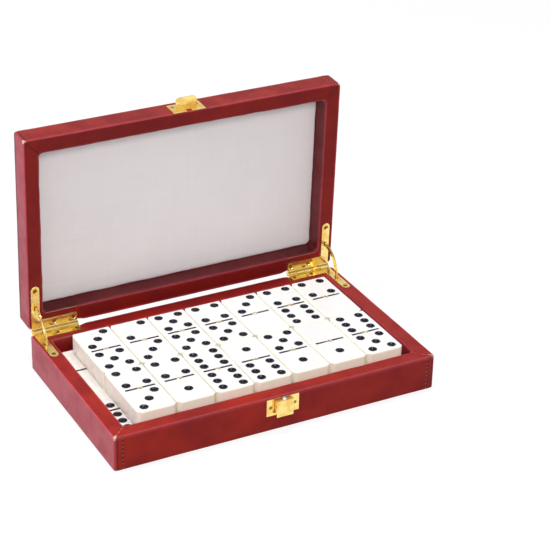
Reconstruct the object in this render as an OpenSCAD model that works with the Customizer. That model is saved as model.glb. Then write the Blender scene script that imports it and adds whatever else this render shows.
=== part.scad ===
// Hinged case for a double-six set of dominoes: leatherette over board, brass corner hinges with
// quadrant stays, a rocker latch on the front, and the 28 tiles lying inside in two layers.
// Frame: origin at the centre of the underside, +X to the right, +Y to the hinges, +Z up.
// The lid is drawn open, standing on its stays, which is the pose that the joints start from.

/* [Dominoes] */
// Width of a tile
tile_w = 25.4; // [21:0.1:31]
// Length of a tile
tile_l = 50.8; // [42:0.1:61]
// Thickness of a tile
tile_t = 12.7; // [10:0.1:16]
// Gap between neighbouring tiles
tile_gap = 0.4; // [0.3:0.05:0.6]
// Radius of a tile's corners, seen from above
tile_corner_r = 3; // [1.5:0.1:3.6]
// Radius of a tile's long and short edges
tile_edge_r = 1.1; // [0.6:0.1:1.4]
// Radius of a pip where it meets the face
pip_r = 2.6; // [2:0.1:2.9]
// Depth of a pip
pip_depth = 0.9; // [0.5:0.05:1.1]
// Distance from the outer pips to the tile's long edges
pip_side = 5.95; // [4:0.05:7]
// Distance from the outer pips to the tile's short edges
pip_end = 4.8; // [4:0.05:6]
// Radius of the brass spinner's head
spinner_r = 1.5; // [1.2:0.1:1.8]

/* [Case] */
// Room at the ends of a row of seven tiles, both ends together
row_room = 16.2; // [12:0.1:24]
// Room in front of and behind two rows of tiles, together
depth_room = 8.9; // [7:0.1:20]
// How far the top layer of tiles stands above the base's rim
tile_proud = 5.7; // [3:0.1:8]
// Air between the top layer of tiles and the lid's lining in the shut case
lid_air = 6.8; // [3:0.1:12]
// Thickness of the leatherette skin
skin_t = 0.8; // [0.6:0.1:1.2]
// Thickness of the four side boards
board_t = 8.7; // [7.2:0.1:12]
// Thickness of the bottom board and the top board
panel_t = 2.5; // [2:0.1:4]
// Thickness of the cloth that lines the floor
floor_lining_t = 0.5; // [0.4:0.1:1]
// Thickness of the padded lining inside the lid
lid_lining_t = 1.4; // [0.8:0.1:2]
// Radius of the upright corners outside
corner_r = 1.8; // [1:0.1:2.2]
// Radius of the upright corners inside
inner_corner_r = 3; // [1.5:0.1:5]
// Radius of the leatherette where it folds over a rim
fold_r = 0.7; // [0.3:0.05:1]
// Gap between the two rims when the case is shut
rim_gap = 0.5; // [0.4:0.1:1]

/* [Hinges] */
// Opening angle of the lid at its stop
lid_open = 88; // [60:1:92]
// Distance from the back of the case to the hinge axis
axis_gap = 2.2; // [2.2:0.1:3.4]
// Thickness of the brass leaves
leaf_t = 0.8; // [0.6:0.1:1]
// Length of each hinge along the back rim
leaf_len = 30.6; // [25:0.1:37]
// Width of the arm that runs forward along the side rim
arm_w = 5.6; // [4.8:0.1:6.8]
// Distance from the case's side to the middle of the arm
arm_inset = 5; // [4.2:0.1:6]
// Distance from the hinge axis to the screw near the arm's end
arm_screw_reach = 29.3; // [26:0.1:34]
// Outer radius of the hinge knuckles
knuckle_r = 1.8; // [1.8:0.05:1.9]
// Radius of the hinge pin
pin_r = 0.9; // [0.7:0.05:1]
// Cover left between the stays' pockets and the skin on top of the lid
stay_cover = 0.6; // [0.4:0.1:3]
// Width of the stay, measured across its arc
stay_w = 2.4; // [2:0.1:3]
// Thickness of the stay
stay_t = 1; // [0.8:0.1:1.2]

/* [Latch] */
// Place of the latch along the front, from the middle
latch_x = 1.3; // [-10:0.1:10]
// Width of both latch plates
latch_w = 21.8; // [18:0.1:26]
// Height of both latch plates
latch_h = 11.4; // [10.5:0.1:12]
// Thickness of both latch plates
latch_t = 0.5; // [0.4:0.1:0.6]
// Width of the rocking lever
lever_w = 11.2; // [9:0.1:12]
// How far the lever stands out from the leatherette
lever_reach = 3.7; // [3.5:0.1:4.2]
// How far the lid's finger lip stands out
lip_reach = 7.5; // [5:0.1:9]

/* [Hidden] */
$fn = 64;
cut = 1;                                    // how far a cutter runs past the face that it opens
slip = 0.3;                                 // clearance between pieces that pass each other
running = 0.06;                             // radial clearance of a turning pin
seat_gap = 0.02;                            // clearance of a pin glued in its hole
tile_px = tile_w + tile_gap;
tile_py = tile_l + tile_gap;
wall_t = board_t + 2 * skin_t;
in_w = 7 * tile_px - tile_gap + row_room;
in_d = 2 * tile_py - tile_gap + depth_room;
case_w = in_w + 2 * wall_t;
case_d = in_d + 2 * wall_t;
half_w = case_w / 2;
half_d = case_d / 2;
board_w = case_w - 2 * skin_t;
board_d = case_d - 2 * skin_t;
floor_top = skin_t + panel_t + floor_lining_t;
base_h = floor_top + 2 * tile_t - tile_proud;
skin_lift = 0.4;                            // the skin stops this far above the table
lid_z = base_h + rim_gap;                   // the lid's rim when the case is shut
lid_ceiling = base_h + tile_proud + lid_air + lid_lining_t;
lid_top = lid_ceiling + panel_t + skin_t;
axis_y = half_d + axis_gap;
axis_z = base_h + rim_gap / 2;

// Hinge sizes, in a frame with the axis as its origin and -Y running forward over the side rim
arm_x = half_w - arm_inset;
leaf_end = arm_x + arm_w / 2;
leaf_edge_y = -(axis_gap + 5.8);
leaf_corner_r = 1.2;
leaf_top = -rim_gap / 2;
knuckles = 5;
knuckle_pitch = leaf_len / knuckles;
screw_r = 0.8;
screw_head_r = 1.7;
screw_len = 6.5;
screw_sink = 0.2;                           // the heads end this far below the leaf's face
leaf_screw_y = (leaf_edge_y - knuckle_r - slip) / 2;
leaf_screw_x = [leaf_end - 15.2, leaf_end - leaf_len + 2.4];
stay_margin = 7.5;                          // how many degrees of the stay stay hidden at each end
stay_lug = 3;                               // length of a stop lug, in degrees
stay_lug_w = stay_w + 1.2;
stay_slot_w = stay_w + 0.8;
stay_pocket_w = stay_lug_w + 1.4;
stay_side_slip = 0.4;
stay_reach = lid_open / 2 + stay_margin + 1.5;
stay_r = (lid_top - skin_t - stay_cover - axis_z) / sin(stay_reach) - stay_pocket_w / 2;

// Latch sizes, with u running out from the front face
latch_top = base_h - 1.1;
lever_bottom = latch_top - latch_h - 0.3;
lever_top = latch_top - 0.7;
lever_shell = 0.6;
lever_pivot = [2, lever_bottom + 6.6];
lever_pin_r = 0.45;
ear_x = lever_w / 2 - lever_shell - slip - 0.4;
nose_y = 2.4;
nose_r = 1.4;
nose_neck_r = 0.7;
nail_dx = (latch_w + lever_w) / 4;
nail_r = 0.5;
nail_head_r = 1.1;
nail_len = 5;
base_nail_z = latch_top - latch_h / 2;
lid_nail_z = lid_z + latch_h - 3.4;
notch_w = 3.6;
notch_h = 2.4;
lip_w = 14.5;
lip_z = lid_z + 5.6;

// Domino sizes
half_centre = tile_l / 4 + 0.3;
pip_dx = tile_w / 2 - pip_side;
pip_dy = tile_l / 2 - pip_end - half_centre;
pip_ball_r = (pip_r * pip_r + pip_depth * pip_depth) / (2 * pip_depth);
bar_len = tile_w - 6.4;
bar_w = 1.5;
bar_depth = 0.5;
spinner_shaft_r = 0.9;
spinner_depth = 6;
spinner_rise = 0.45;
spinner_ball_r = (spinner_r * spinner_r + spinner_rise * spinner_rise) / (2 * spinner_rise);
top_x0 = -in_w / 2 + 9.7;
top_y0 = -in_d / 2 + 0.3;
bottom_x0 = -in_w / 2 + 0.4;
bottom_y0 = top_y0 + 2.8;

// Each tile is [pips on the half nearer the hinges, pips on the half nearer the front]
TOP_BACK = [[3, 5], [2, 3], [5, 5], [4, 5], [3, 0], [4, 6], [4, 0]];
TOP_FRONT = [[4, 3], [4, 1], [6, 6], [1, 6], [5, 1], [0, 1], [6, 5]];
BOTTOM_BACK = [[0, 0], [0, 2], [0, 5], [0, 6], [1, 1], [1, 2], [1, 3]];
BOTTOM_FRONT = [[3, 6], [2, 2], [2, 4], [2, 5], [2, 6], [3, 3], [4, 4]];
ROWS = [
    [BOTTOM_FRONT, bottom_x0, bottom_y0, floor_top],
    [BOTTOM_BACK, bottom_x0, bottom_y0 + tile_py, floor_top],
    [TOP_FRONT, top_x0, top_y0, floor_top + tile_t],
    [TOP_BACK, top_x0, top_y0 + tile_py, floor_top + tile_t]
];

function tile_name(t) = str("domino_", min(t[0], t[1]), "_", max(t[0], t[1]));

CASE_NODES = [
    "base_underside", "base_bottom_board", "base_wall_front", "base_wall_back", "base_wall_left",
    "base_wall_right", "base_leather", "base_floor_lining",
    "lid_top_board", "lid_wall_front", "lid_wall_back", "lid_wall_left", "lid_wall_right",
    "lid_leather", "lid_lining",
    "hinge_base_leaf_left", "hinge_base_leaf_right", "hinge_lid_leaf_left", "hinge_lid_leaf_right",
    "hinge_pins", "hinge_stay_left", "hinge_stay_right", "hinge_base_screws", "hinge_lid_screws",
    "latch_base_plate", "latch_lever", "latch_nose", "latch_lever_pin", "latch_spring",
    "latch_base_nails", "latch_keeper", "latch_keeper_nails"
];

// Colours
wine = [0.55, 0.13, 0.14];
board_tan = [0.72, 0.6, 0.44];
lining_grey = [0.84, 0.81, 0.8];
brass = [0.86, 0.68, 0.28];
steel = [0.8, 0.8, 0.8];
ivory = [0.96, 0.93, 0.84];

// Shapes shared by several pieces

module rounded_rect(w, d, r) {
    square([w - 2 * r, d], center = true);
    square([w, d - 2 * r], center = true);
    for (x = [-1, 1], y = [-1, 1]) {
        translate([x * (w / 2 - r), y * (d / 2 - r)]) circle(r = r);
    }
}

module block(x0, x1, y0, y1, z0, z1) {
    translate([x0, y0, z0]) cube([x1 - x0, y1 - y0, z1 - z0]);
}

// A round bar along X, centred
module bar_x(r, len) {
    rotate([0, 90, 0]) cylinder(r = r, h = len, center = true);
}

// A slice of a flat ring
module sector(r0, r1, a0, a1) {
    steps = 4;
    rays = [for (i = [0 : steps]) a0 + (a1 - a0) * i / steps];
    intersection() {
        difference() {
            circle(r = r1);
            circle(r = r0);
        }
        polygon(concat([[0, 0]], [for (a = rays) 2 * r1 * [cos(a), sin(a)]]));
    }
}

// Stands a flat shape up in the plane that the lid swings in: its +X points forward and its +Y up
module upright(t) {
    rotate([90, 0, -90]) translate([0, 0, -t / 2]) linear_extrude(t) children();
}

module quadrant(r0, r1, t, a0, a1) {
    upright(t) sector(r0, r1, a0, a1);
}

// Moves children from the hinge frame to the case frame
module at_axis() {
    translate([0, axis_y, axis_z]) children();
}

// Turns children drawn for the shut case to where the open lid holds them
module on_lid() {
    at_axis() rotate([-lid_open, 0, 0]) translate([0, -axis_y, -axis_z]) children();
}

// The same hinge piece for both ends, with side = -1 at the left and 1 at the right
module to_side(side) {
    if (side > 0) mirror([1, 0, 0]) children();
    else children();
}

// Case boards

// The front and back boards run between the side boards
module side_boards(z0, z1, which) {
    end_x = board_w / 2;
    end_y = board_d / 2;
    if (which == "front") block(board_t - end_x, end_x - board_t, -end_y, board_t - end_y, z0, z1);
    if (which == "back") block(board_t - end_x, end_x - board_t, end_y - board_t, end_y, z0, z1);
    if (which == "left") block(-end_x, board_t - end_x, -end_y, end_y, z0, z1);
    if (which == "right") block(end_x - board_t, end_x, -end_y, end_y, z0, z1);
}

// Pockets that the stays swing into, below the rim for the base and above it for the lid
module stay_pockets(up) {
    inner_r = stay_r - stay_pocket_w / 2;
    outer_r = stay_r + stay_pocket_w / 2;
    at_axis() for (side = [-1, 1]) translate([side * arm_x, 0, 0]) {
        quadrant(inner_r, outer_r, stay_t + 2 * stay_side_slip, up ? -3 : -stay_reach, up ? stay_reach : 3);
    }
}

// Screw holes through the skin into the boards, in the hinge frame, for the base's leaves
module hinge_screw_places() {
    for (x = leaf_screw_x) translate([-x, leaf_screw_y, leaf_top]) children();
    translate([-arm_x, -arm_screw_reach, leaf_top]) children();
}

module screw_bores() {
    for (side = [-1, 1]) to_side(side) hinge_screw_places() {
        translate([0, 0, -screw_len]) cylinder(r = screw_r, h = screw_len + cut);
    }
}

module base_screw_bores() {
    at_axis() screw_bores();
}

module lid_screw_bores() {
    at_axis() mirror([0, 0, 1]) screw_bores();
}

module nail_bore(x, z) {
    translate([x, -half_d - cut, z]) rotate([-90, 0, 0]) cylinder(r = nail_r, h = nail_len + cut);
}

module base_nail_bores() {
    for (side = [-1, 1]) nail_bore(latch_x + side * nail_dx, base_nail_z);
}

module lid_nail_bores() {
    for (side = [-1, 1]) nail_bore(latch_x + side * nail_dx, lid_nail_z);
}

module base_underside() {
    color(wine) linear_extrude(skin_t) rounded_rect(board_w, board_d, corner_r - skin_t / 2);
}

module base_bottom_board() {
    color(board_tan) block(-board_w / 2, board_w / 2, -board_d / 2, board_d / 2, skin_t, skin_t + panel_t);
}

module base_wall(which) {
    color(board_tan) difference() {
        side_boards(skin_t + panel_t, base_h - skin_t, which);
        if (leaf_t > skin_t) at_axis() leaf_beds();
        stay_pockets(false);
        base_screw_bores();
        base_nail_bores();
    }
}

module lid_wall(which) {
    color(board_tan) on_lid() difference() {
        side_boards(lid_z + skin_t, lid_ceiling, which);
        if (leaf_t > skin_t) at_axis() mirror([0, 0, 1]) leaf_beds();
        stay_pockets(true);
        lid_screw_bores();
        lid_nail_bores();
    }
}

module lid_top_board() {
    color(board_tan) on_lid() difference() {
        block(-board_w / 2, board_w / 2, -board_d / 2, board_d / 2, lid_ceiling, lid_top - skin_t);
        stay_pockets(true);
    }
}

// Skins and linings

// The shallow bed that both leaves of one half lie in, in the hinge frame
module leaf_beds() {
    for (side = [-1, 1]) to_side(side) translate([0, 0, leaf_top - leaf_t])
        linear_extrude(leaf_t + cut) leaf_outline(0.1);
}

// A side view of the case, r0 round at its lower corners and r1 at its upper ones
module side_view(w, z0, z1, r0, r1) {
    translate([-w / 2, z0 + r0]) square([w, z1 - z0 - r0 - r1]);
    translate([r0 - w / 2, z0]) square([w - 2 * r0, r0 + cut]);
    translate([r1 - w / 2, z1 - r1 - cut]) square([w - 2 * r1, r1 + cut]);
    for (side = [-1, 1]) {
        translate([side * (w / 2 - r0), z0 + r0]) circle(r = r0);
        translate([side * (w / 2 - r1), z1 - r1]) circle(r = r1);
    }
}

// The outside of one half of the case
module half_case(z0, z1, r0, r1) {
    intersection() {
        translate([0, 0, z0]) linear_extrude(z1 - z0) rounded_rect(case_w, case_d, corner_r);
        rotate([90, 0, 0]) linear_extrude(2 * case_d, center = true) side_view(case_w, z0, z1, r0, r1);
        rotate([90, 0, 90]) linear_extrude(2 * case_w, center = true) side_view(case_d, z0, z1, r0, r1);
    }
}

// What the fold takes off the rim's inner edge, cut from above with the rim at z = 0
module inner_fold() {
    straight_w = in_w - 2 * inner_corner_r;
    straight_d = in_d - 2 * inner_corner_r;
    for (turn = [0, 180]) rotate([0, 0, turn]) {
        translate([-straight_w / 2, in_d / 2, 0]) rotate([90, 0, 90])
            linear_extrude(straight_w) fold_section();
        translate([in_w / 2, straight_d / 2, 0]) rotate([90, 0, 0])
            linear_extrude(straight_d) fold_section();
    }
    for (x = [-1, 1], y = [-1, 1]) translate([x * straight_w / 2, y * straight_d / 2, 0])
        rotate_extrude() translate([inner_corner_r, 0]) fold_section();
}

module fold_section() {
    difference() {
        translate([-0.2, -fold_r]) square([fold_r + 0.2, fold_r + cut]);
        translate([fold_r, -fold_r]) circle(r = fold_r);
    }
}

module base_leather() {
    color(wine) difference() {
        half_case(skin_lift, base_h, fold_r / 2, fold_r);
        block(-board_w / 2, board_w / 2, -board_d / 2, board_d / 2, 0, skin_t + panel_t);
        translate([0, 0, skin_t]) linear_extrude(base_h) rounded_rect(in_w, in_d, inner_corner_r);
        translate([0, 0, base_h]) inner_fold();
        for (which = ["front", "back", "left", "right"]) side_boards(skin_t, base_h - skin_t, which);
        at_axis() leaf_beds();
        base_screw_bores();
        stay_pockets(false);
        base_nail_bores();
    }
}

module base_floor_lining() {
    color(lining_grey) translate([0, 0, skin_t + panel_t]) linear_extrude(floor_lining_t)
        rounded_rect(in_w - 0.1, in_d - 0.1, inner_corner_r);
}

module lid_leather() {
    color(wine) on_lid() difference() {
        half_case(lid_z, lid_top, fold_r, fold_r);
        translate([0, 0, lid_z - cut]) linear_extrude(lid_ceiling - lid_z + cut)
            rounded_rect(in_w, in_d, inner_corner_r);
        translate([0, 0, lid_z]) mirror([0, 0, 1]) inner_fold();
        block(-board_w / 2, board_w / 2, -board_d / 2, board_d / 2, lid_ceiling, lid_top - skin_t);
        for (which = ["front", "back", "left", "right"]) side_boards(lid_z + skin_t, lid_ceiling, which);
        at_axis() mirror([0, 0, 1]) leaf_beds();
        lid_screw_bores();
        stay_pockets(true);
        lid_nail_bores();
    }
}

module lid_lining() {
    color(lining_grey) on_lid() translate([0, 0, lid_ceiling - lid_lining_t]) linear_extrude(lid_lining_t)
        rounded_rect(in_w - 0.1, in_d - 0.1, inner_corner_r);
}

// Hinges, all drawn for the left end in the hinge frame

module leaf_outline(grow) {
    translate([-leaf_end - grow, leaf_edge_y - grow])
        square([leaf_len + 2 * grow - leaf_corner_r, -leaf_edge_y + grow]);
    translate([-leaf_end - grow, leaf_edge_y - grow + leaf_corner_r])
        square([leaf_len + 2 * grow, -leaf_edge_y + grow - leaf_corner_r]);
    translate([-leaf_end + leaf_len + grow - leaf_corner_r, leaf_edge_y - grow + leaf_corner_r])
        circle(r = leaf_corner_r);
    translate([-arm_x - arm_w / 2 - grow, -arm_screw_reach - 0.6])
        square([arm_w + 2 * grow, arm_screw_reach + 0.6 + leaf_edge_y + cut]);
    translate([-arm_x, -arm_screw_reach - 0.6]) circle(r = arm_w / 2 + grow);
}

module knuckle(i, r, grow) {
    translate([-leaf_end + (i + 0.5) * knuckle_pitch, 0, 0]) bar_x(r, knuckle_pitch + 2 * grow);
}

// own: the knuckles that this leaf carries; other: the ones of the leaf that it meets
module leaf(own, other, bore_r) {
    difference() {
        union() {
            difference() {
                translate([0, 0, leaf_top - leaf_t]) linear_extrude(leaf_t) leaf_outline(0);
                for (i = other) knuckle(i, knuckle_r + slip, slip / 2);
            }
            for (i = own) knuckle(i, knuckle_r, 0);
        }
        translate([-leaf_end + leaf_len / 2, 0, 0]) bar_x(bore_r, leaf_len + 2 * cut);
        for (i = other) knuckle(i, knuckle_r + slip, slip / 2);
        hinge_screw_places() {
            translate([0, 0, -leaf_t - cut]) cylinder(r = screw_r, h = leaf_t + 2 * cut);
            translate([0, 0, -leaf_t]) cylinder(r1 = screw_r, r2 = screw_head_r, h = leaf_t);
        }
        translate([-arm_x, -stay_r, leaf_top]) cube(
            [stay_t + 2 * stay_side_slip, stay_slot_w, 4 * leaf_t], center = true
        );
    }
}

module hinge_base_leaf(side) {
    color(brass) at_axis() to_side(side) leaf([0, 2, 4], [1, 3], pin_r);
}

module hinge_lid_leaf(side) {
    color(brass) at_axis() rotate([-lid_open, 0, 0]) mirror([0, 0, 1]) to_side(side)
        leaf([1, 3], [0, 2, 4], pin_r + running);
}

module hinge_pins() {
    color(brass) at_axis() for (side = [-1, 1]) to_side(side)
        translate([-leaf_end + leaf_len / 2, 0, 0]) bar_x(pin_r, leaf_len + 0.6);
}

// A brass arc about the hinge axis, with a wider stop lug at each end
module hinge_stay(side) {
    half = lid_open / 2 + stay_margin;
    color(brass) at_axis() translate([side * arm_x, 0, 0]) rotate([-lid_open / 2, 0, 0]) upright(stay_t) {
        sector(stay_r - stay_w / 2, stay_r + stay_w / 2, -half, half);
        sector(stay_r - stay_lug_w / 2, stay_r + stay_lug_w / 2, -half, -half + stay_lug);
        sector(stay_r - stay_lug_w / 2, stay_r + stay_lug_w / 2, half - stay_lug, half);
    }
}

// A countersunk screw whose head ends a little below the leaf's face, with a cross recess
module hinge_screw() {
    head_r = screw_r + (screw_head_r - screw_r) * (leaf_t - screw_sink) / leaf_t - 0.05;
    difference() {
        union() {
            translate([0, 0, -screw_len]) cylinder(r = screw_r, h = screw_len - 0.2);
            translate([0, 0, -leaf_t]) cylinder(r1 = screw_r, r2 = head_r, h = leaf_t - screw_sink);
        }
        for (turn = [0, 90]) translate([0, 0, -screw_sink]) rotate([0, 0, turn + 20])
            cube([1.6, 0.5, 0.9], center = true);
    }
}

module hinge_base_screws() {
    color(brass) at_axis() for (side = [-1, 1]) to_side(side) hinge_screw_places() hinge_screw();
}

module hinge_lid_screws() {
    color(brass) at_axis() rotate([-lid_open, 0, 0]) mirror([0, 0, 1])
        for (side = [-1, 1]) to_side(side) hinge_screw_places() hinge_screw();
}

// Latch

// Places children in a frame on the front face: x along it, y out of it, z up
module at_latch() {
    translate([latch_x, -half_d, 0]) mirror([0, 1, 0]) children();
}

// A sheet in the y-z plane of the latch frame, t thick, with its middle at x
module cheek(x, t, points) {
    translate([x - t / 2, 0, 0]) rotate([90, 0, 90]) linear_extrude(t) polygon(points);
}

module latch_base_plate() {
    color(brass) at_latch() difference() {
        union() {
            block(-latch_w / 2, latch_w / 2, 0, latch_t, latch_top - latch_h, latch_top);
            for (side = [-1, 1]) cheek(side * ear_x, 0.8, [
                [latch_t / 2, lever_pivot[1] - 1.4],
                [lever_pivot[0] + 0.9, lever_pivot[1] - 0.9],
                [lever_pivot[0] + 0.9, lever_pivot[1] + 0.9],
                [latch_t / 2, lever_pivot[1] + 1.4]
            ]);
        }
        translate([0, lever_pivot[0], lever_pivot[1]]) bar_x(lever_pin_r, latch_w);
        for (side = [-1, 1]) translate([side * nail_dx, -cut, base_nail_z]) rotate([-90, 0, 0])
            cylinder(r = nail_r, h = latch_t + 2 * cut);
    }
}

module latch_lever() {
    edge_x = lever_w / 2;
    inside_y = lever_reach - lever_shell;
    back_y = lever_pivot[0] - 0.9;
    side_profile = [
        [inside_y - 0.1, lever_bottom],
        [lever_reach - lever_shell / 2, lever_bottom],
        [lever_reach - lever_shell / 2, lever_top - lever_shell / 2],
        [back_y, lever_top],
        [back_y, lever_pivot[1] - 1.2]
    ];
    color(brass) at_latch() difference() {
        union() {
            block(-edge_x, edge_x, inside_y, lever_reach, lever_bottom, lever_top);
            block(-edge_x, edge_x, back_y, lever_reach, lever_top - lever_shell, lever_top);
            for (side = [-1, 1]) cheek(side * (lever_w / 2 - lever_shell / 2), lever_shell, side_profile);
        }
        translate([0, lever_pivot[0], lever_pivot[1]]) bar_x(lever_pin_r + running, latch_w);
        translate([0, nose_y, lever_top - 2 * lever_shell])
            cylinder(r = nose_neck_r, h = 2 * cut + lever_shell);
    }
}

// The domed nose that the lid's notch drops over
module latch_nose() {
    color(steel) at_latch() translate([0, nose_y, 0]) {
        translate([0, 0, lever_top - lever_shell - 0.5]) cylinder(r = nose_neck_r, h = lever_shell + 1.1);
        intersection() {
            translate([0, 0, lever_top + 0.55]) sphere(r = nose_r);
            translate([0, 0, lever_top]) cylinder(r = 2 * nose_r, h = 2 * nose_r);
        }
    }
}

module latch_lever_pin() {
    color(brass) at_latch() translate([0, lever_pivot[0], lever_pivot[1]])
        bar_x(lever_pin_r, lever_w - 0.1);
}

// A leaf spring that keeps the lower end of the lever out
module latch_spring() {
    color(steel) at_latch() cheek(0, 2.6, [
        [latch_t, latch_top - latch_h + 4.2],
        [latch_t, latch_top - latch_h + 2],
        [lever_reach - lever_shell - 1.6, latch_top - latch_h + 0.6],
        [lever_reach - lever_shell - 1.45, latch_top - latch_h + 0.85],
        [latch_t + 0.25, latch_top - latch_h + 2.2],
        [latch_t + 0.25, latch_top - latch_h + 4.2]
    ]);
}

// A nail through a latch plate, with a low domed head
module latch_nail(z) {
    rise = 0.45;
    ball = (nail_head_r * nail_head_r + rise * rise) / (2 * rise);
    translate([0, 0, z]) {
        translate([0, -nail_len, 0]) rotate([-90, 0, 0]) cylinder(r = nail_r, h = nail_len + latch_t + 0.1);
        intersection() {
            translate([0, latch_t + rise - ball, 0]) sphere(r = ball);
            translate([0, latch_t, 0]) rotate([-90, 0, 0]) cylinder(r = ball, h = ball);
        }
    }
}

module latch_base_nails() {
    color(brass) at_latch() for (side = [-1, 1]) translate([side * nail_dx, 0, 0]) latch_nail(base_nail_z);
}

module latch_keeper() {
    color(brass) on_lid() at_latch() difference() {
        union() {
            block(-latch_w / 2, latch_w / 2, 0, latch_t, lid_z + 0.1, lid_z + latch_h);
            translate([0, 0, lip_z - lever_shell / 2]) linear_extrude(lever_shell) {
                translate([-lip_w / 2, latch_t / 2]) square([lip_w, lip_reach - latch_t / 2 - 3]);
                translate([-lip_w / 2 + 3, latch_t / 2]) square([lip_w - 6, lip_reach - latch_t / 2]);
                for (side = [-1, 1]) translate([side * (lip_w / 2 - 3), lip_reach - 3]) circle(r = 3);
            }
        }
        block(-notch_w / 2, notch_w / 2, -cut, latch_t + cut, lid_z, lid_z + notch_h);
        for (side = [-1, 1]) translate([side * nail_dx, -cut, lid_nail_z]) rotate([-90, 0, 0])
            cylinder(r = nail_r, h = latch_t + 2 * cut);
    }
}

module latch_keeper_nails() {
    color(brass) on_lid() at_latch() for (side = [-1, 1]) translate([side * nail_dx, 0, 0])
        latch_nail(lid_nail_z);
}

// Dominoes

module tile_blank() {
    intersection() {
        linear_extrude(tile_t) rounded_rect(tile_w, tile_l, tile_corner_r);
        translate([0, tile_l, tile_t / 2]) rotate([90, 0, 0]) linear_extrude(2 * tile_l)
            rounded_rect(tile_w, tile_t, tile_edge_r);
        translate([-tile_w, 0, tile_t / 2]) rotate([90, 0, 90]) linear_extrude(2 * tile_w)
            rounded_rect(tile_l, tile_t, tile_edge_r);
    }
}

// Places of the pips on one half, in steps from its middle
function pips(n) = concat(
    n % 2 == 1 ? [[0, 0]] : [],
    n > 1 ? [[-1, -1], [1, 1]] : [],
    n > 3 ? [[-1, 1], [1, -1]] : [],
    n > 5 ? [[-1, 0], [1, 0]] : []
);

module tile(t) {
    difference() {
        tile_blank();
        for (end = [0, 1], p = pips(t[end])) {
            y = (1 - 2 * end) * half_centre + p[1] * pip_dy;
            translate([p[0] * pip_dx, y, tile_t + pip_ball_r - pip_depth]) sphere(r = pip_ball_r);
        }
        translate([-bar_len / 2, -bar_w / 2, tile_t - bar_depth]) cube([bar_len, bar_w, bar_depth + cut]);
        translate([0, 0, tile_t - bar_depth]) cylinder(r = spinner_r + 0.1, h = bar_depth + cut);
        translate([0, 0, tile_t - bar_depth - spinner_depth])
            cylinder(r = spinner_shaft_r, h = spinner_depth + cut);
    }
}

// The brass pin that the tile spins on; its domed head ends just under the face, so tiles stack flat
module spinner() {
    translate([0, 0, tile_t - bar_depth + seat_gap]) {
        translate([0, 0, -spinner_depth])
            cylinder(r = spinner_shaft_r - seat_gap, h = spinner_depth + seat_gap);
        intersection() {
            translate([0, 0, spinner_rise - spinner_ball_r]) sphere(r = spinner_ball_r);
            cylinder(r = 2 * spinner_r, h = spinner_r);
        }
    }
}

module domino(t) {
    color(ivory) tile(t);
    color(brass) spinner();
}

module domino_in_row(row, i) {
    translate([row[1] + tile_w / 2 + i * tile_px, row[2] + tile_l / 2, row[3]]) domino(row[0][i]);
}

base_underside();
base_bottom_board();
base_wall("front");  // base_wall_front
base_wall("back");  // base_wall_back
base_wall("left");  // base_wall_left
base_wall("right");  // base_wall_right
base_leather();
base_floor_lining();
lid_top_board();
lid_wall("front");  // lid_wall_front
lid_wall("back");  // lid_wall_back
lid_wall("left");  // lid_wall_left
lid_wall("right");  // lid_wall_right
lid_leather();
lid_lining();
hinge_base_leaf(-1);  // hinge_base_leaf_left
hinge_base_leaf(1);  // hinge_base_leaf_right
hinge_lid_leaf(-1);  // hinge_lid_leaf_left
hinge_lid_leaf(1);  // hinge_lid_leaf_right
hinge_pins();
hinge_stay(-1);  // hinge_stay_left
hinge_stay(1);  // hinge_stay_right
hinge_base_screws();
hinge_lid_screws();
latch_base_plate();
latch_lever();
latch_nose();
latch_lever_pin();
latch_spring();
latch_base_nails();
latch_keeper();
latch_keeper_nails();
for (row = ROWS) for (i = [0 : 6]) {
    domino_in_row(row, i);
}
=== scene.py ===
"""Finishes a hinged domino case: leatherette, cloth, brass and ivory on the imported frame."""

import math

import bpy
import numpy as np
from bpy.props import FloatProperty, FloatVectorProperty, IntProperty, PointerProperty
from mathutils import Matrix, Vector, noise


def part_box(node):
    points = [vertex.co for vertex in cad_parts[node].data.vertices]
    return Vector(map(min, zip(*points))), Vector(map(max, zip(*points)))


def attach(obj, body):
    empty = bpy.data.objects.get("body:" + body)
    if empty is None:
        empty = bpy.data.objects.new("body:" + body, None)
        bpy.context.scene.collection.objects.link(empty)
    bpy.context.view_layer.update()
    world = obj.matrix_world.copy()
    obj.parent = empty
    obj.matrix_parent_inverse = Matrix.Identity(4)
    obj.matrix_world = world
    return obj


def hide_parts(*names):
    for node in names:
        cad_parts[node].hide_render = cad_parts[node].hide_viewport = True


bl_info = {
    "name": "Domino Case",
    "version": (1, 0, 0),
    "blender": (4, 5, 0),
    "location": "3D View > Sidebar > Domino Case",
    "description": "Builds the leatherette, linings, stitches and tile markings of a hinged domino case",
    "category": "Add Mesh",
}

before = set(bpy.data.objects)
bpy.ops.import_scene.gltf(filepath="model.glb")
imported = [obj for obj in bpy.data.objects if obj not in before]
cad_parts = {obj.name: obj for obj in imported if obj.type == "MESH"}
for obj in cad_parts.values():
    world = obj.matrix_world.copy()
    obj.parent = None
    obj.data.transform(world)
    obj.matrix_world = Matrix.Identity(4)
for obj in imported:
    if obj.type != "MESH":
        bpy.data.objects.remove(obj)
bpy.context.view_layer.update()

MM = 0.001


def box_mm(node):
    """Lowest and highest corner of a CAD node at rest, in millimetres."""
    low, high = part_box(node)
    return np.array(low) / MM, np.array(high) / MM


BASE_LOW, BASE_HIGH = box_mm("base_leather")
PIN_LOW, PIN_HIGH = box_mm("hinge_pins")
AXIS_Y = (PIN_LOW[1] + PIN_HIGH[1]) / 2
AXIS_Z = (PIN_LOW[2] + PIN_HIGH[2]) / 2
HALF_W, HALF_D, RIM_Z = BASE_HIGH[0], BASE_HIGH[1], BASE_HIGH[2]

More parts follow.
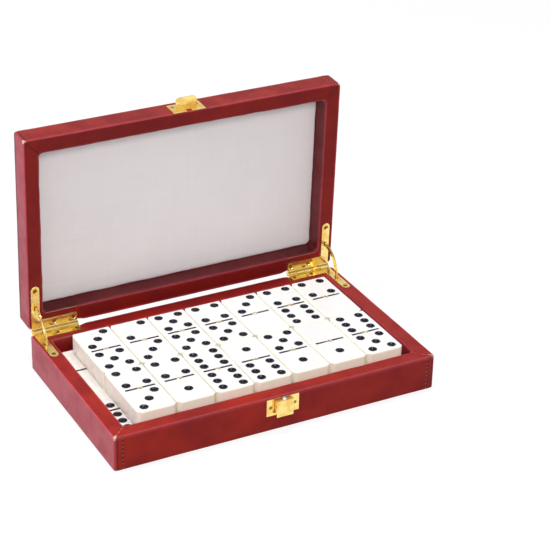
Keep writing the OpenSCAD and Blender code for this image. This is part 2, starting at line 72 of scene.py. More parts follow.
# The tiles as they lie, each (pips nearer the hinges, pips nearer the front), from left to right
TOP_ROWS = (
    ((3, 5), (2, 3), (5, 5), (4, 5), (3, 0), (4, 6), (4, 0)),
    ((4, 3), (4, 1), (6, 6), (1, 6), (5, 1), (0, 1), (6, 5)),
)
BOTTOM_ROWS = (
    ((0, 0), (0, 2), (0, 5), (0, 6), (1, 1), (1, 2), (1, 3)),
    ((3, 6), (2, 2), (2, 4), (2, 5), (2, 6), (3, 3), (4, 4)),
)


def tile_node(halves):
    """The CAD node of a tile by its two numbers of pips."""
    return "domino_%d_%d" % (min(halves), max(halves))


class Millimetres:
    """Reads the lengths of a property group in millimetres."""

    def __init__(self, group):
        self.group = group

    def __getattr__(self, name):
        return getattr(self.group, name) / MM


# ---------------------------------------------------------------- settings


def length(name, description, default):
    """A length whose default is given in millimetres."""
    return FloatProperty(
        name=name, description=description, default=default * MM, unit="LENGTH", precision=5
    )


def colour(name, description, default):
    return FloatVectorProperty(
        name=name, description=description, default=default, subtype="COLOR", size=3, min=0, max=1
    )


def share(name, description, default):
    return FloatProperty(
        name=name, description=description, default=default, subtype="FACTOR", min=0, max=1
    )


class DominoCaseSizes(bpy.types.PropertyGroup):
    wall: length("Wall", "Thickness of a wall with its leatherette", 10.3)
    skin: length("Skin", "Thickness of the leatherette", 0.8)
    outer_corner: length("Outer corner", "Radius of the upright corners outside", 1.8)
    inner_corner: length("Inner corner", "Radius of the upright corners inside", 3)
    outer_fold: length("Outer fold", "Radius of the leatherette over a rim's outer edge", 0.8)
    inner_fold: length("Inner fold", "Radius of the leatherette over a rim's inner edge", 1.3)
    top_fold: length("Top fold", "Radius of the leatherette round the lid's top", 2.4)
    rim_gap: length("Rim gap", "Gap between the rims when the case is shut", 0.5)
    lid_height: length("Lid height", "Height of the lid from its rim to its top", 16.7)
    lid_room: length("Lid room", "Depth from the lid's rim to its top board", 13.4)
    floor_top: length("Floor board", "Height of the floor board's upper face", 3.3)
    lid_open: FloatProperty(
        name="Lid angle", description="Angle of the open lid", default=math.radians(88), subtype="ANGLE"
    )
    leaf_length: length("Leaf length", "Length of a hinge leaf along the back", 30.6)
    leaf_reach: length("Leaf reach", "How far a leaf runs in from the hinge axis", 8)
    leaf: length("Leaf thickness", "Thickness of the brass leaves", 0.8)
    arm_inset: length("Arm inset", "Distance from the case's side to the middle of an arm", 5)
    arm_width: length("Arm width", "Width of a hinge arm", 5.6)
    arm_reach: length("Arm reach", "Distance from the hinge axis to the middle of an arm's end", 29.9)
    stay_radius: length("Stay radius", "Radius of the quadrant stays", 17)
    stitch_inset: length("Stitch inset", "Distance from a corner to its row of stitches", 5.5)
    stitch_pitch: length("Stitch pitch", "Distance from one stitch to the next", 2.7)
    stitch_length: length("Stitch length", "Length of a stitch", 1.75)
    stitch_width: length("Stitch width", "Thickness of the thread", 0.42)


class DominoTileSizes(bpy.types.PropertyGroup):
    half_centre: length("Half centre", "Distance from a tile's middle to the middle of each half", 13)
    pip_across: length("Pips across", "Spacing of the pips across a tile", 6.75)
    pip_along: length("Pips along", "Spacing of the pips along a tile", 7.6)
    pip_radius: length("Pip radius", "Radius of a pip's enamel at the face", 2.88)
    pip_depth: length("Pip depth", "Depth of a pip's enamel", 0.95)
    paint: length("Paint", "Thickness of the enamel where it laps on the face", 0.03)
    bar_length: length("Bar length", "Length of the bar across a tile", 19.4)
    bar_width: length("Bar width", "Width of the bar's enamel", 2)
    bar_depth: length("Bar depth", "Depth of the bar's groove", 0.5)
    spinner_radius: length("Spinner radius", "Radius of the spinner's head", 1.72)
    spinner_rise: length("Spinner rise", "Height of the spinner's domed head", 0.45)
    pip_sides: IntProperty(
        name="Pip sides", description="Number of sides of a pip", default=14, min=8, max=64
    )


class DominoCaseLook(bpy.types.PropertyGroup):
    leather: colour("Leatherette", "Main colour of the leatherette", (0.40, 0.017, 0.008))
    # The deep colour serves the random mottling and, darker still, the painted shade in creases and recesses
    leather_deep: colour("Deep leatherette", "Colour of its mottling and creases", (0.20, 0.009, 0.011))
    # The next colour is painted highlight along the folds and corners and painted sheen on the side flanks
    leather_highlight: colour("Leatherette edge", "Colour where it is stretched", (0.64, 0.13, 0.18))
    leather_worn: colour("Worn leatherette", "Colour of the worn specks at the corners", (0.86, 0.62, 0.47))
    thread: colour("Thread", "Colour of the stitches", (0.58, 0.19, 0.08))
    cloth: colour("Cloth", "Colour of the lid's lining", (0.90, 0.85, 0.855))
    cloth_dark: colour("Cloth shade", "Colour between the threads of the lining", (0.82, 0.78, 0.79))
    board: colour("Board", "Colour of the fibreboard", (0.45, 0.33, 0.2))
    brass: colour("Brass", "Colour of the polished brass", (1.0, 0.78, 0.28))
    brass_dull: colour("Dull brass", "Colour of the brass where it has dulled", (0.86, 0.46, 0.07))
    screw: colour("Screws", "Colour of the screws and nails", (0.42, 0.22, 0.05))
    steel: colour("Steel", "Colour of the latch's bright steel", (0.78, 0.76, 0.72))
    spinner: colour("Spinners", "Colour of the spinners' heads", (0.96, 0.88, 0.66))
    ivory: colour("Ivory", "Colour of a tile's face", (0.95, 0.95, 0.935))
    # The next colour is the painted warm glow on the tiles' sides, in place of light passing through the ivory,
    # and also tints the random clouding
    ivory_side_glow: colour("Ivory side", "Colour of a tile's sides", (0.98, 0.95, 0.79))
    paint: colour("Paint", "Colour of the pips", (0.004, 0.005, 0.012))
    floor: colour("Floor", "Colour of the floor under the case", (0.4, 0.4, 0.4))
    leather_roughness: share("Leatherette roughness", "Roughness of the leatherette", 0.4)
    brass_roughness: share("Brass roughness", "Roughness of the brass", 0.15)


# ---------------------------------------------------------------- node helpers


def put(tree, socket, value):
    """Sets an input, or links it where the value is another node's output."""
    if isinstance(value, bpy.types.NodeSocket):
        tree.links.new(value, socket)
    elif socket.type == "RGBA":
        socket.default_value = (*value[:3], 1)
    else:
        socket.default_value = value


def add(tree, kind, inputs=None, **settings):
    """Adds a node. An input is a value or the socket that feeds it."""
    made = tree.nodes.new(kind)
    for key, value in settings.items():
        setattr(made, key, value)
    for key, value in (inputs or {}).items():
        put(tree, made.inputs[key], value)
    return made


def output(tree, kind, inputs=None, **settings):
    """Adds a node and returns its first output."""
    return add(tree, kind, inputs, **settings).outputs[0]


def maths(tree, operation, *values, clamp=False):
    return output(tree, "ShaderNodeMath", dict(enumerate(values)), operation=operation, use_clamp=clamp)


def times(tree, a, b):
    return maths(tree, "MULTIPLY", a, b)


def darker(share_left, colour_of):
    return [share_left * c for c in colour_of]


def ramp(tree, value, low, high, to_low=0.0, to_high=1.0):
    """Maps a value from low..high to to_low..to_high, smoothly and held at the ends."""
    inputs = dict(enumerate((value, low, high, to_low, to_high)))
    return output(tree, "ShaderNodeMapRange", inputs, interpolation_type="SMOOTHSTEP")


def blend_colours(tree, share_of_b, a, b):
    made = add(tree, "ShaderNodeMix", data_type="RGBA")
    for index, value in ((0, share_of_b), (6, a), (7, b)):
        put(tree, made.inputs[index], value)
    return made.outputs[2]


def noise_of(tree, coordinates, scale, detail=2.0, roughness=0.5):
    inputs = {"Vector": coordinates, "Scale": scale, "Detail": detail, "Roughness": roughness}
    return add(tree, "ShaderNodeTexNoise", inputs).outputs["Fac"]


def stretched(tree, coordinates, scale):
    return output(tree, "ShaderNodeMapping", {"Vector": coordinates, "Scale": scale})


def bump(tree, height, distance, strength=1.0, before=None):
    """A normal roughened by a height, on top of another normal where one is given."""
    inputs = {"Strength": strength, "Distance": distance, "Height": height}
    if before is not None:
        inputs["Normal"] = before
    return output(tree, "ShaderNodeBump", inputs)


def new_material(name):
    """The tree of a new material, its plain Principled shader and its Object coordinates."""
    material = bpy.data.materials.new(name)
    material.use_nodes = True
    tree = material.node_tree
    return tree, tree.nodes["Principled BSDF"], add(tree, "ShaderNodeTexCoord").outputs["Object"]


def feed(tree, shader, **inputs):
    """Sets or links the Principled shader's inputs, with _ for a space."""
    for key, value in inputs.items():
        put(tree, shader.inputs[key.replace("_", " ")], value)


# ---------------------------------------------------------------- finishes


def leather_finish(look, name="case_leatherette", shade=1.0):
    """Leatherette with a fine pebble and soft mottling. Its painted highlights and sheen on edges and flanks,
    painted shade in creases and recesses, and worn specks follow attributes of the skins."""
    tree, shader, place = new_material(name)
    edge, painted_shade, wear = (
        add(tree, "ShaderNodeAttribute", attribute_name=key).outputs["Fac"]
        for key in ("edge", "painted_shade", "wear")
    )
    deep = darker(shade, look.leather_deep)
    mottle = ramp(tree, noise_of(tree, place, 55, 4, 0.6), 0.35, 0.68)
    cloudy = ramp(tree, noise_of(tree, place, 14), 0.3, 0.7)
    body = blend_colours(tree, times(tree, mottle, 0.6), darker(shade, look.leather), deep)
    body = blend_colours(tree, times(tree, cloudy, 0.35), body, deep)
    # Painted shade in creases, seams, recesses and over the lid's inside, in a colour darker than the deep one
    body = blend_colours(tree, painted_shade, body, darker(0.45, deep))
    patchy = ramp(tree, noise_of(tree, place, 160, 3, 0.7), 0.25, 0.75, 0.6, 0.9)
    # Painted highlights along the folds and upright corners and painted sheen on the side faces, with a pale
    # line by the mitre cracks, at a randomly varying strength
    body = blend_colours(tree, times(tree, edge, patchy), body, look.leather_highlight)
    specks = noise_of(tree, place, 1100, 5, 0.72)
    worn = ramp(tree, maths(tree, "ADD", specks, times(tree, wear, 0.36)), 0.80, 0.86)
    body = blend_colours(tree, worn, body, look.leather_worn)
    pebble = add(tree, "ShaderNodeTexVoronoi", {"Vector": place, "Scale": 1500, "Smoothness": 0.6},
                 feature="SMOOTH_F1").outputs["Distance"]
    grain = bump(tree, noise_of(tree, place, 420, 4, 0.6), 0.00012, 0.35, bump(tree, pebble, 0.00008, 0.3))
    rough = ramp(tree, mottle, 0, 1, look.leather_roughness - 0.04, look.leather_roughness + 0.08)
    rough = maths(tree, "ADD", rough, times(tree, worn, 0.25), clamp=True)
    feed(tree, shader, Base_Color=body, Roughness=rough, Normal=grain, Specular_IOR_Level=0.17,
         Sheen_Weight=0.3, Sheen_Roughness=0.3, Sheen_Tint=(1.0, 0.30, 0.46))


def cloth_finish(look):
    """Fine plain-woven cloth, with threads of uneven weight and faint streaks along them."""
    tree, shader, place = new_material("lining_cloth")
    settings = {"Vector": place, "Scale": 520, "Distortion": 1.2, "Detail": 2, "Detail Scale": 1.5}
    threads = [
        add(tree, "ShaderNodeTexWave", settings, wave_type="BANDS", bands_direction=way).outputs["Fac"]
        for way in "XZY"
    ]
    streaks = [noise_of(tree, stretched(tree, place, scale), 9, 3, 0.6) for scale in ((1, 90, 90), (90, 90, 1))]
    weave = maths(tree, "MAXIMUM", times(tree, threads[0], threads[1]), times(tree, threads[0], threads[2]))
    streaky = maths(tree, "ADD", *streaks)
    blotch = ramp(tree, noise_of(tree, place, 28, 4, 0.6), 0.35, 0.7)
    shade = maths(tree, "ADD", times(tree, ramp(tree, streaky, 0.75, 1.25), 0.3), times(tree, blotch, 0.25))
    body = blend_colours(tree, shade, look.cloth, look.cloth_dark)
    body = blend_colours(tree, times(tree, weave, 0.08), body, look.cloth_dark)
    relief = bump(tree, streaky, 0.0002, 0.08, bump(tree, weave, 0.00005, 0.3))
    feed(tree, shader, Base_Color=body, Roughness=0.86, Normal=relief, Specular_IOR_Level=0.15,
         Sheen_Weight=0.15, Sheen_Roughness=0.6, Sheen_Tint=(0.95, 0.95, 1.0))


def metal_finish(name, bright, dull, roughness):
    """Pressed and polished sheet metal: slight dulling in patches, and fine polishing marks."""
    tree, shader, place = new_material(name)
    patches = ramp(tree, noise_of(tree, place, 170, 3, 0.6), 0.44, 0.66)
    body = blend_colours(tree, times(tree, patches, 0.6), bright, dull)
    marks = noise_of(tree, stretched(tree, place, (1, 3, 3)), 900, 3, 0.6)
    soft = output(tree, "ShaderNodeBevel", {"Radius": 0.0002}, samples=4)
    relief = bump(tree, noise_of(tree, place, 110, 1), 0.0002, 0.5, soft)
    relief = bump(tree, marks, 0.00002, 0.06, relief)
    rough = ramp(tree, patches, 0, 1, roughness, roughness + 0.1)
    feed(tree, shader, Base_Color=body, Metallic=0.9, Roughness=rough, Normal=relief,
         Specular_IOR_Level=0.4)


def board_finish(look):
    """Fibreboard: short brown fibres in a paler ground."""
    tree, shader, place = new_material("case_board")
    fibres = noise_of(tree, stretched(tree, place, (1, 6, 6)), 380, 5, 0.7)
    body = blend_colours(tree, ramp(tree, fibres, 0.4, 0.62), darker(0.7, look.board), look.board)
    feed(tree, shader, Base_Color=body, Roughness=0.9, Normal=bump(tree, fibres, 0.0002, 0.4),
         Specular_IOR_Level=0.2)


def ivory_finish(look):
    """Cast ivory-coloured plastic, faintly clouded, with a painted warm glow on its sides in place of light
    passing through the ivory.
    """
    tree, shader, place = new_material("cast_ivory")
    facing = add(tree, "ShaderNodeSeparateXYZ", {0: add(tree, "ShaderNodeNewGeometry").outputs["Normal"]})
    # Painted warm glow on the sides, in place of light passing through the ivory; the random clouding below
    # mixes in a little of the same colour
    side = ramp(tree, maths(tree, "ABSOLUTE", facing.outputs[2]), 0.6, 0.99, 1.0, 0.0)
    cloud = noise_of(tree, place, 60, 3)
    body = blend_colours(tree, side, look.ivory, look.ivory_side_glow)
    body = blend_colours(tree, times(tree, ramp(tree, cloud, 0.4, 0.75), 0.07), body, look.ivory_side_glow)
    rough = ramp(tree, cloud, 0.3, 0.7, 0.24, 0.30)
    relief = bump(tree, noise_of(tree, place, 90, 1), 0.0001, 0.06)
    feed(tree, shader, Base_Color=body, Roughness=rough, Normal=relief, Specular_IOR_Level=0.45)


def paint_finish(look):
    """Thick black enamel with a slight orange-peel ripple."""
    tree, shader, place = new_material("pip_enamel")
    peel = noise_of(tree, place, 700)
    body = blend_colours(tree, ramp(tree, peel, 0.4, 0.7), look.paint, darker(1.8, look.paint))
    feed(tree, shader, Base_Color=body, Roughness=0.06, Normal=bump(tree, peel, 0.00005, 0.08),
         Specular_IOR_Level=0.3)


def thread_finish(look):
    """Twisted thread: slanting plies darker in their grooves."""
    tree, shader, place = new_material("seam_thread")
    plies = add(tree, "ShaderNodeTexWave", {"Vector": place, "Scale": 900, "Distortion": 0.5},
                wave_type="BANDS", bands_direction="DIAGONAL").outputs["Fac"]
    body = blend_colours(tree, plies, darker(0.65, look.thread), look.thread)
    feed(tree, shader, Base_Color=body, Roughness=0.75, Normal=bump(tree, plies, 0.00005, 0.5),
         Sheen_Weight=0.2)


def finish(name):
    return bpy.data.materials[name]


def repaint(node_names, material):
    """Gives CAD nodes another material."""
    for name in node_names:
        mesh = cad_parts[name].data
        mesh.materials.clear()
        mesh.materials.append(material)


# ---------------------------------------------------------------- mesh helpers


def smoothstep(value, low, high):
    """0 up to low, rising smoothly to 1 at high."""
    t = np.clip((value - low) / (high - low), 0, 1)
    return t * t * (3 - 2 * t)


def fade(value, low, high):
    """1 up to low, falling smoothly to 0 at high."""
    return 1 - smoothstep(value, low, high)


def bell(value, width):
    """1 at 0, falling to about a third at width to either side."""
    return np.exp(-((value / width) ** 2))


def ripple(points, size, seed):
    """Smooth noise from -1 to 1 at points (..., 3), with features of about that size in millimetres."""
    flat = points.reshape(-1, 3) / size
    shift = Vector((seed * 7.31, seed * 3.17, seed * 11.9))
    values = [noise.noise(Vector(p) + shift) for p in flat]
    return np.array(values).reshape(points.shape[:-1])


def signed_volume(points, faces):
    """Six times the volume inside the faces, negative where they face inwards."""
    total = 0.0
    for face in faces:
        a = points[face[0]]
        for k in range(1, len(face) - 1):
            total += np.dot(a, np.cross(points[face[k]], points[face[k + 1]]))
    return total


def new_piece(name, points, faces, material, turn=None, attributes=None):
    """Makes a closed mesh with its faces outwards from points in millimetres. turn moves the mesh itself,
    and attributes are values for each point."""
    points = np.asarray(points, float)
    if signed_volume(points - points.mean(0), faces) < 0:
        faces = [tuple(reversed(face)) for face in faces]
    mesh = bpy.data.meshes.new(name)
    mesh.from_pydata((points * MM).tolist(), [], [tuple(int(i) for i in face) for face in faces])
    for key, values in (attributes or {}).items():
        mesh.attributes.new(key, "FLOAT", "POINT").data.foreach_set("value", np.asarray(values, np.float32))
    if turn is not None:
        mesh.transform(turn)
    mesh.shade_smooth()
    mesh.materials.append(material)
    piece = bpy.data.objects.new(name, mesh)
    bpy.context.scene.collection.objects.link(piece)
    return piece


def lid_turn(sizes):
    """Turns what is drawn for the shut case to where the open lid holds it."""
    axis = Vector((0, AXIS_Y, AXIS_Z)) * MM
    return Matrix.Translation(axis) @ Matrix.Rotation(-sizes.lid_open, 4, "X") @ Matrix.Translation(-axis)


def baked(piece):
    """Applies a piece's modifiers and leaves a plain mesh."""
    graph = bpy.context.evaluated_depsgraph_get()
    mesh = bpy.data.meshes.new_from_object(piece.evaluated_get(graph), depsgraph=graph)
    piece.modifiers.clear()
    piece.data = mesh
    return piece


# ---------------------------------------------------------------- rings round the case

# Each side's outward way and the way its ring runs: front, right, back and left
SIDES = (((0, -1), (1, 0)), ((1, 0), (0, 1)), ((0, 1), (-1, 0)), ((-1, 0), (0, -1)))
# Places of the stations between the straight stretch and a corner's arc, as shares of that way
CORNER_STEPS = (0, 0.02, 0.04, 0.065, 0.09, 0.12, 0.16, 0.22, 0.3, 0.38, 0.44, 0.48, 0.52, 0.56,
                0.62, 0.68, 0.74, 0.8, 0.86, 0.92, 0.97)


def spaced(low, high, step):
    """Evenly spaced values from low up to but without high, about a step apart."""
    if high - low < 0.001:
        return []
    count = max(1, round((high - low) / step))
    return [low + (high - low) * i / count for i in range(count)]


class Round:
    """A closed loop of stations that run round a rectangle with round corners, the same at every ring.
    They stand close together on the back face beyond fine_back, and on the last fine_side of each side."""

    def __init__(self, straight_w, straight_d, fine_back, fine_side, fine=0.5, coarse=2.2):
        self.straight = (straight_w, straight_d)
        self.stations = []
        for side in range(4):
            end = self.straight[side % 2]
            if side == 2:
                stops = spaced(-end, -fine_back, fine) + spaced(-fine_back, fine_back, coarse)
                stops += spaced(fine_back, end, fine)
            elif side == 1:
                stops = spaced(-end, end - fine_side, coarse) + spaced(end - fine_side, end, fine)
            elif side == 3:
                stops = spaced(-end, fine_side - end, fine) + spaced(fine_side - end, end, coarse)
            else:
                stops = spaced(-end, end, coarse)
            self.stations += [(side, "straight", a) for a in stops]
            self.stations += [(side, "before", 1 - w) for w in reversed(CORNER_STEPS)]
            self.stations += [(side, "arc", i / 8) for i in range(1, 8)]
            self.stations += [(side, "after", w) for w in CORNER_STEPS]

    def ring(self, half_w, half_d, radius):
        """Points and outward normals of one ring."""
        points, normals = [], []
        for side, kind, value in self.stations:
            n, t = (np.array(v, float) for v in SIDES[side])
            face, other = ((half_d, half_w), (half_w, half_d))[side % 2]
            own, following = self.straight[side % 2], self.straight[(side + 1) % 2]
            normal = n
            if kind == "straight":
                point = n * face + t * value
            elif kind == "before":
                point = n * face + t * (own + value * (other - radius - own))
            elif kind == "arc":
                normal = n * math.cos(value * math.pi / 2) + t * math.sin(value * math.pi / 2)
                point = n * (face - radius) + t * (other - radius) + normal * radius
            else:
                normal = t
                point = t * other + n * (following + (1 - value) * (face - radius - following))
            points.append(point)
            normals.append(normal)
        return np.array(points), np.array(normals)


def ring_faces(rings, count, closed):
    """Quads between that many rings of count points. closed joins the last ring to the first."""
    faces = []
    for i in range(rings if closed else rings - 1):
        a, b = i * count, ((i + 1) % rings) * count
        for j in range(count):
            k = (j + 1) % count
            faces.append((a + j, a + k, b + k, b + j))
    return faces


def from_rim(points, rim_z, upward):
    """Points given by their depth from a rim, with their height instead."""
    points = points.copy()
    points[:, 2] = rim_z + points[:, 2] if upward else rim_z - points[:, 2]
    return points


def capped(layers, first_middle, last_middle):
    """Points and faces of a stack of rings whose two ends are closed onto a middle point each."""
    count, rings = len(layers[0]), len(layers)
    points = np.vstack([*layers, [first_middle, last_middle]])
    faces = ring_faces(rings, count, False)
    last = (rings - 1) * count
    for j in range(count):
        k = (j + 1) % count
        faces.append((j, len(points) - 2, k))
        faces.append((last + j, last + k, len(points) - 1))
    return points, faces


# ---------------------------------------------------------------- leatherette

# Where the rings of a skin turn fine: from here on along the back, and over this length at the sides' ends
FINE_STRETCHES = (71.5, 21)
# Stretches along the back rim, from the case's middle, over which it begins and ends to sink for a hinge
SINK_BEGINS, SINK_ENDS = (73.4, 75.6), (104.8, 106.8)
# The stretch over which the raised middle of the back rim ends
MIDDLE_ENDS = (70.5, 73.5)
# Distance of the lapped seam from the end of its face
SEAM_INSET = 1.95
# How far the skin may stand out before it is held back
FREE_PUSH = 0.18
# Depths below the lid's rim where the painted sheen on its flanks ends, and between which a painted shade along
# its far edges sets in
FLANK_END, FAR_EDGE = 12.2, (11.6, 12.6)
# Spacing of the rings across the rim
RIM_STEP = 0.38
# How much thicker the skin is over the rim than on the walls
RIM_EXTRA = 0.15
# Half the width, length and height of the slots for the stays
SLOT_HALVES = (0.9, 1.6, 2.5)


def leaf_distance(mm, x, y):
    """Distance from points of the rim to the outline of a hinge leaf and its arm, negative inside."""
    x = np.abs(x)
    leaf_end = HALF_W - mm.arm_inset + mm.arm_width / 2
    reach, corner = mm.leaf_reach, 1.2
    low_x, high_x = leaf_end - mm.leaf_length, leaf_end
    low_y, high_y = AXIS_Y - reach, AXIS_Y + 2
    dx = np.abs(x - (low_x + high_x) / 2) - (high_x - low_x) / 2 + corner
    dy = np.abs(y - (low_y + high_y) / 2) - (high_y - low_y) / 2 + corner
    plate = np.hypot(np.maximum(dx, 0), np.maximum(dy, 0)) + np.minimum(np.maximum(dx, dy), 0) - corner
    arm_x, arm_end = HALF_W - mm.arm_inset, AXIS_Y - mm.arm_reach
    along = np.clip(y, arm_end, AXIS_Y - reach + 3)
    arm = np.hypot(x - arm_x, y - along) - mm.arm_width / 2
    square_arm = np.maximum(np.abs(x - arm_x) - mm.arm_width / 2, np.maximum(arm_end - y, y - AXIS_Y))
    return np.minimum(plate, np.minimum(arm, square_arm))


class Skin:
    """One half of the case in leatherette, drawn with its rim at depth 0 and its depth growing away from
    it. inner_depth and outer_depth are where its inner and outer walls end."""

    def __init__(self, mm, inner_depth, outer_depth, seed, has_top):
        self.mm, self.seed, self.has_top = mm, seed, has_top
        wall, skin = mm.wall, mm.skin
        fold_in, fold_out = mm.inner_fold, mm.outer_fold

        # The cross-section in pairs of distance in from the outer face and depth below the rim: up the
        # inner wall, round the inner fold, over the rim, round the outer fold, down the outer face and
        # round its foot or into the lid's top
        section = [(wall, d) for d in np.linspace(inner_depth, fold_in * 1.02, 9)]
        section += [
            (wall - fold_in + fold_in * math.cos(a), fold_in - fold_in * math.sin(a))
            for a in np.linspace(0, math.pi / 2, 7)[1:]
        ]
        section += [(o, 0) for o in np.arange(wall - fold_in - RIM_STEP, fold_out + 0.1, -RIM_STEP)]
        section += [
            (fold_out - fold_out * math.sin(a), fold_out - fold_out * math.cos(a))
            for a in np.linspace(0, math.pi / 2, 7)
        ]
        foot = mm.top_fold if has_top else 0.5
        section += [(0, d) for d in np.linspace(fold_out, outer_depth - foot, 13)[1:]]
        section += [
            (foot - foot * math.cos(a), outer_depth - foot + foot * math.sin(a))
            for a in np.linspace(0, math.pi / 2, 5)[1:]
        ]
        self.outside = len(section)

        # The base's skin comes back round the boards; mesh_data closes the lid's
        under = skin + RIM_EXTRA
        if not has_top:
            steps = (outer_depth, outer_depth - 0.6, outer_depth * 0.6, outer_depth * 0.3, 2.5, under)
            section += [(skin, d) for d in steps]
            section += [(o, under) for o in (2.2, 4, 6, 8)]
            section += [(wall - skin, d) for d in (under, 4, inner_depth * 0.6, inner_depth)]
        self.section = section
        room = wall + mm.inner_corner + 0.6
        self.loop = Round(HALF_W - room, HALF_D - room, *FINE_STRETCHES)
        self.count = len(self.loop.stations)
        corner_out, corner_in = mm.outer_corner, mm.inner_corner
        points, normals = [], []
        for inset, depth in section:
            radius = corner_out + (corner_in - corner_out) * inset / wall
            ring, normal = self.loop.ring(HALF_W - inset, HALF_D - inset, radius)
            points.append(np.column_stack([ring, np.full(self.count, depth)]))
            normals.append(normal)
        self.points, self.normals = np.array(points), np.array(normals)
        self.wear, self.edge, self.painted_shade = (np.zeros(self.points.shape[:2]) for _ in range(3))
        self.shape()

    def shape(self):
        """Moves the outside of the skin: soft waves, sunk hinge beds, mitres, lapped seams and wear."""
        mm, n, seed = self.mm, self.outside, self.seed
        here = self.points[:n]
        flat = here * (1, 1, 0)
        x, y, depth = (here[:, :, k].copy() for k in range(3))
        abs_x, flat_depth, wall = np.abs(x), depth.copy(), mm.wall
        normal_x, normal_y = self.normals[:n, :, 0], self.normals[:n, :, 1]
        inset = np.array([s[0] for s in self.section[:n]])[:, None] * np.ones_like(x)
        outer = fade(inset, 0.5, 1.2)
        on_inner = smoothstep(inset, wall - 1.8, wall - 0.2)
        on_rim = fade(depth, 0.2, 2.0)

        # Soft unevenness of the glued skin
        push = 0.10 * ripple(here, 26, seed) + 0.05 * ripple(here, 7, seed + 1)
        wander = ripple(flat, 19, seed + 2) + 0.5 * ripple(flat, 8, seed + 3)
        push += on_inner * 0.45 * wander * bell(depth, 9)
        depth += on_rim * (0.10 + 0.10 * ripple(flat, 12, seed + 4)) * smoothstep(inset, 0.2, 1.5)

        # The back rim sinks where the hinges are let in, with a small ledge beside them
        back = smoothstep(y, HALF_D - wall - 1.5, HALF_D - wall + 1.0)
        sink = smoothstep(abs_x, *SINK_BEGINS) * fade(abs_x, *SINK_ENDS) * back
        depth += 0.62 * sink * bell(flat_depth, 3.2)
        push -= on_inner * 0.5 * sink * bell(flat_depth, 5)
        ledge = bell(abs_x - 73.2, 1.6) * back
        depth -= 0.18 * ledge * on_rim

        # Between the hinges the rim stands a little higher and the back puffs out
        middle = fade(abs_x, *MIDDLE_ENDS)
        back_face = outer * smoothstep(normal_y, 0.7, 0.95) * middle
        puff = 0.75 * back_face * bell(flat_depth - 1.2, 4.5)
        depth -= 0.18 * middle * back * on_rim

        # Beds under the brass leaves; each ring lies a little deeper than the one before, so none fold over
        gap = leaf_distance(mm, x, y)
        bed = (mm.leaf + 0.06) * fade(gap, 0.02, 0.42)
        rank = np.arange(n)[:, None] * 0.0015
        depth = np.where(gap < 0.45, np.maximum(depth, bed + rank), depth)
        depth -= 0.10 * bell(gap - 0.9, 0.45) * on_rim * (1 - sink)

        # Mitred folds over the front corners
        from_side, from_end = HALF_W - abs_x, HALF_D - np.abs(y)
        nearer, farther = np.minimum(from_side, from_end), np.maximum(from_side, from_end)
        to_mitre = (from_side - from_end) / math.sqrt(2)
        near_corner = fade(farther, wall + 2, wall + 5)
        front = (y < 0) * near_corner
        groove = 0.30 * bell(to_mitre, 0.16 + 0.10 * bell(from_side - wall, 3))
        lap = 0.14 * smoothstep(to_mitre, 0.1, 0.5) * fade(to_mitre, 1.5, 5)
        depth += front * on_rim * (groove - lap)
        inside_corner = on_inner * near_corner * bell(to_mitre, 0.35)
        push += 0.2 * inside_corner

        # Lapped seam at each end of the front and back faces, and the channel of its stitches
        end_face = outer * smoothstep(np.abs(normal_y), 0.9, 0.99)
        push -= 0.40 * end_face * bell(from_side - SEAM_INSET, 0.24)
        push += 0.07 * end_face * smoothstep(from_side, 2.3, 2.9) * fade(from_side, 7.5, 9.5)
        push -= 0.10 * end_face * bell(from_side - mm.stitch_inset, 0.35)

        # All but the puff is held back where it would make the case larger
        push = np.where(push > FREE_PUSH, FREE_PUSH + 0.2 * (push - FREE_PUSH), push) + puff
        outwards = 1 - 2 * on_inner
        x, y = x + normal_x * push * outwards, y + normal_y * push * outwards
        self.points[:n] = np.dstack([x, y, depth])

        # Painted shade: in the mitres, seams and stitches, along the edges of the beds and on the inner walls
        # where the hinges sink; on the lid, over its rim and inner walls and in a strip along its far side
        # edges; and lightly on the faces turned to the front
        painted_shade = front * on_rim * bell(to_mitre, 0.22) + end_face * bell(from_side - SEAM_INSET, 0.42)
        painted_shade += 0.8 * end_face * bell(from_side - mm.stitch_inset, 0.4)
        painted_shade += on_rim * bell(gap - 0.12, 0.16) + 0.6 * on_inner * sink
        if self.has_top:
            inner = smoothstep(inset, wall - 0.9, wall - 0.1)
            inside = (1 - outer) * (inset > 1) * (1 - 0.5 * sink) * (flat_depth < 14)
            painted_shade += (0.5 + 0.36 * inner) * inside
            far_edge_shade = (inset < 3) * smoothstep(flat_depth, *FAR_EDGE) * (np.abs(normal_x) > 0.7)
            painted_shade += 0.9 * far_edge_shade
        painted_shade += 0.16 * outer * (normal_y < -0.7)
        self.painted_shade[:n] = np.clip(painted_shade, 0, 1)

        # Painted highlights along both folds of the rim and the upright corners, painted sheen on the side
        # flanks, and a pale line beside the base's mitre cracks
        crack = 0.0 if self.has_top else 1.1
        outer_fold = bell(inset - 0.35, 0.45) * fade(flat_depth, 0.7, 1.4)
        inner_fold = bell(inset - (wall - 0.45), 0.5) * fade(flat_depth, 1.0, 1.9)
        fold = np.maximum(outer_fold, 0.9 * inner_fold)
        upright = outer * bell(nearer, 1.5) * bell(farther, 1.5)
        side_sheen = 0.46 * outer * smoothstep(np.abs(normal_x), 0.7, 0.95)
        if self.has_top:
            side_sheen *= flat_depth < FLANK_END
        mitre_edge = 0.4 * crack * front * on_rim * bell(to_mitre - 0.35, 0.3)
        self.edge[:n] = np.clip(0.5 * fold + 0.45 * upright + side_sheen + mitre_edge, 0, 1)

        # Where corners and the mitres' cracks are worn through
        corner = np.sqrt(from_side ** 2 + from_end ** 2 + flat_depth ** 2)
        wear = 0.9 * bell(corner, 3.0)
        wear += crack * bell(to_mitre, 0.30 + 0.25 * bell(corner, 6)) * on_rim * front
        wear += 0.35 * outer * bell(farther, 2.2) * bell(nearer, 2.2)
        self.wear[:n] = wear

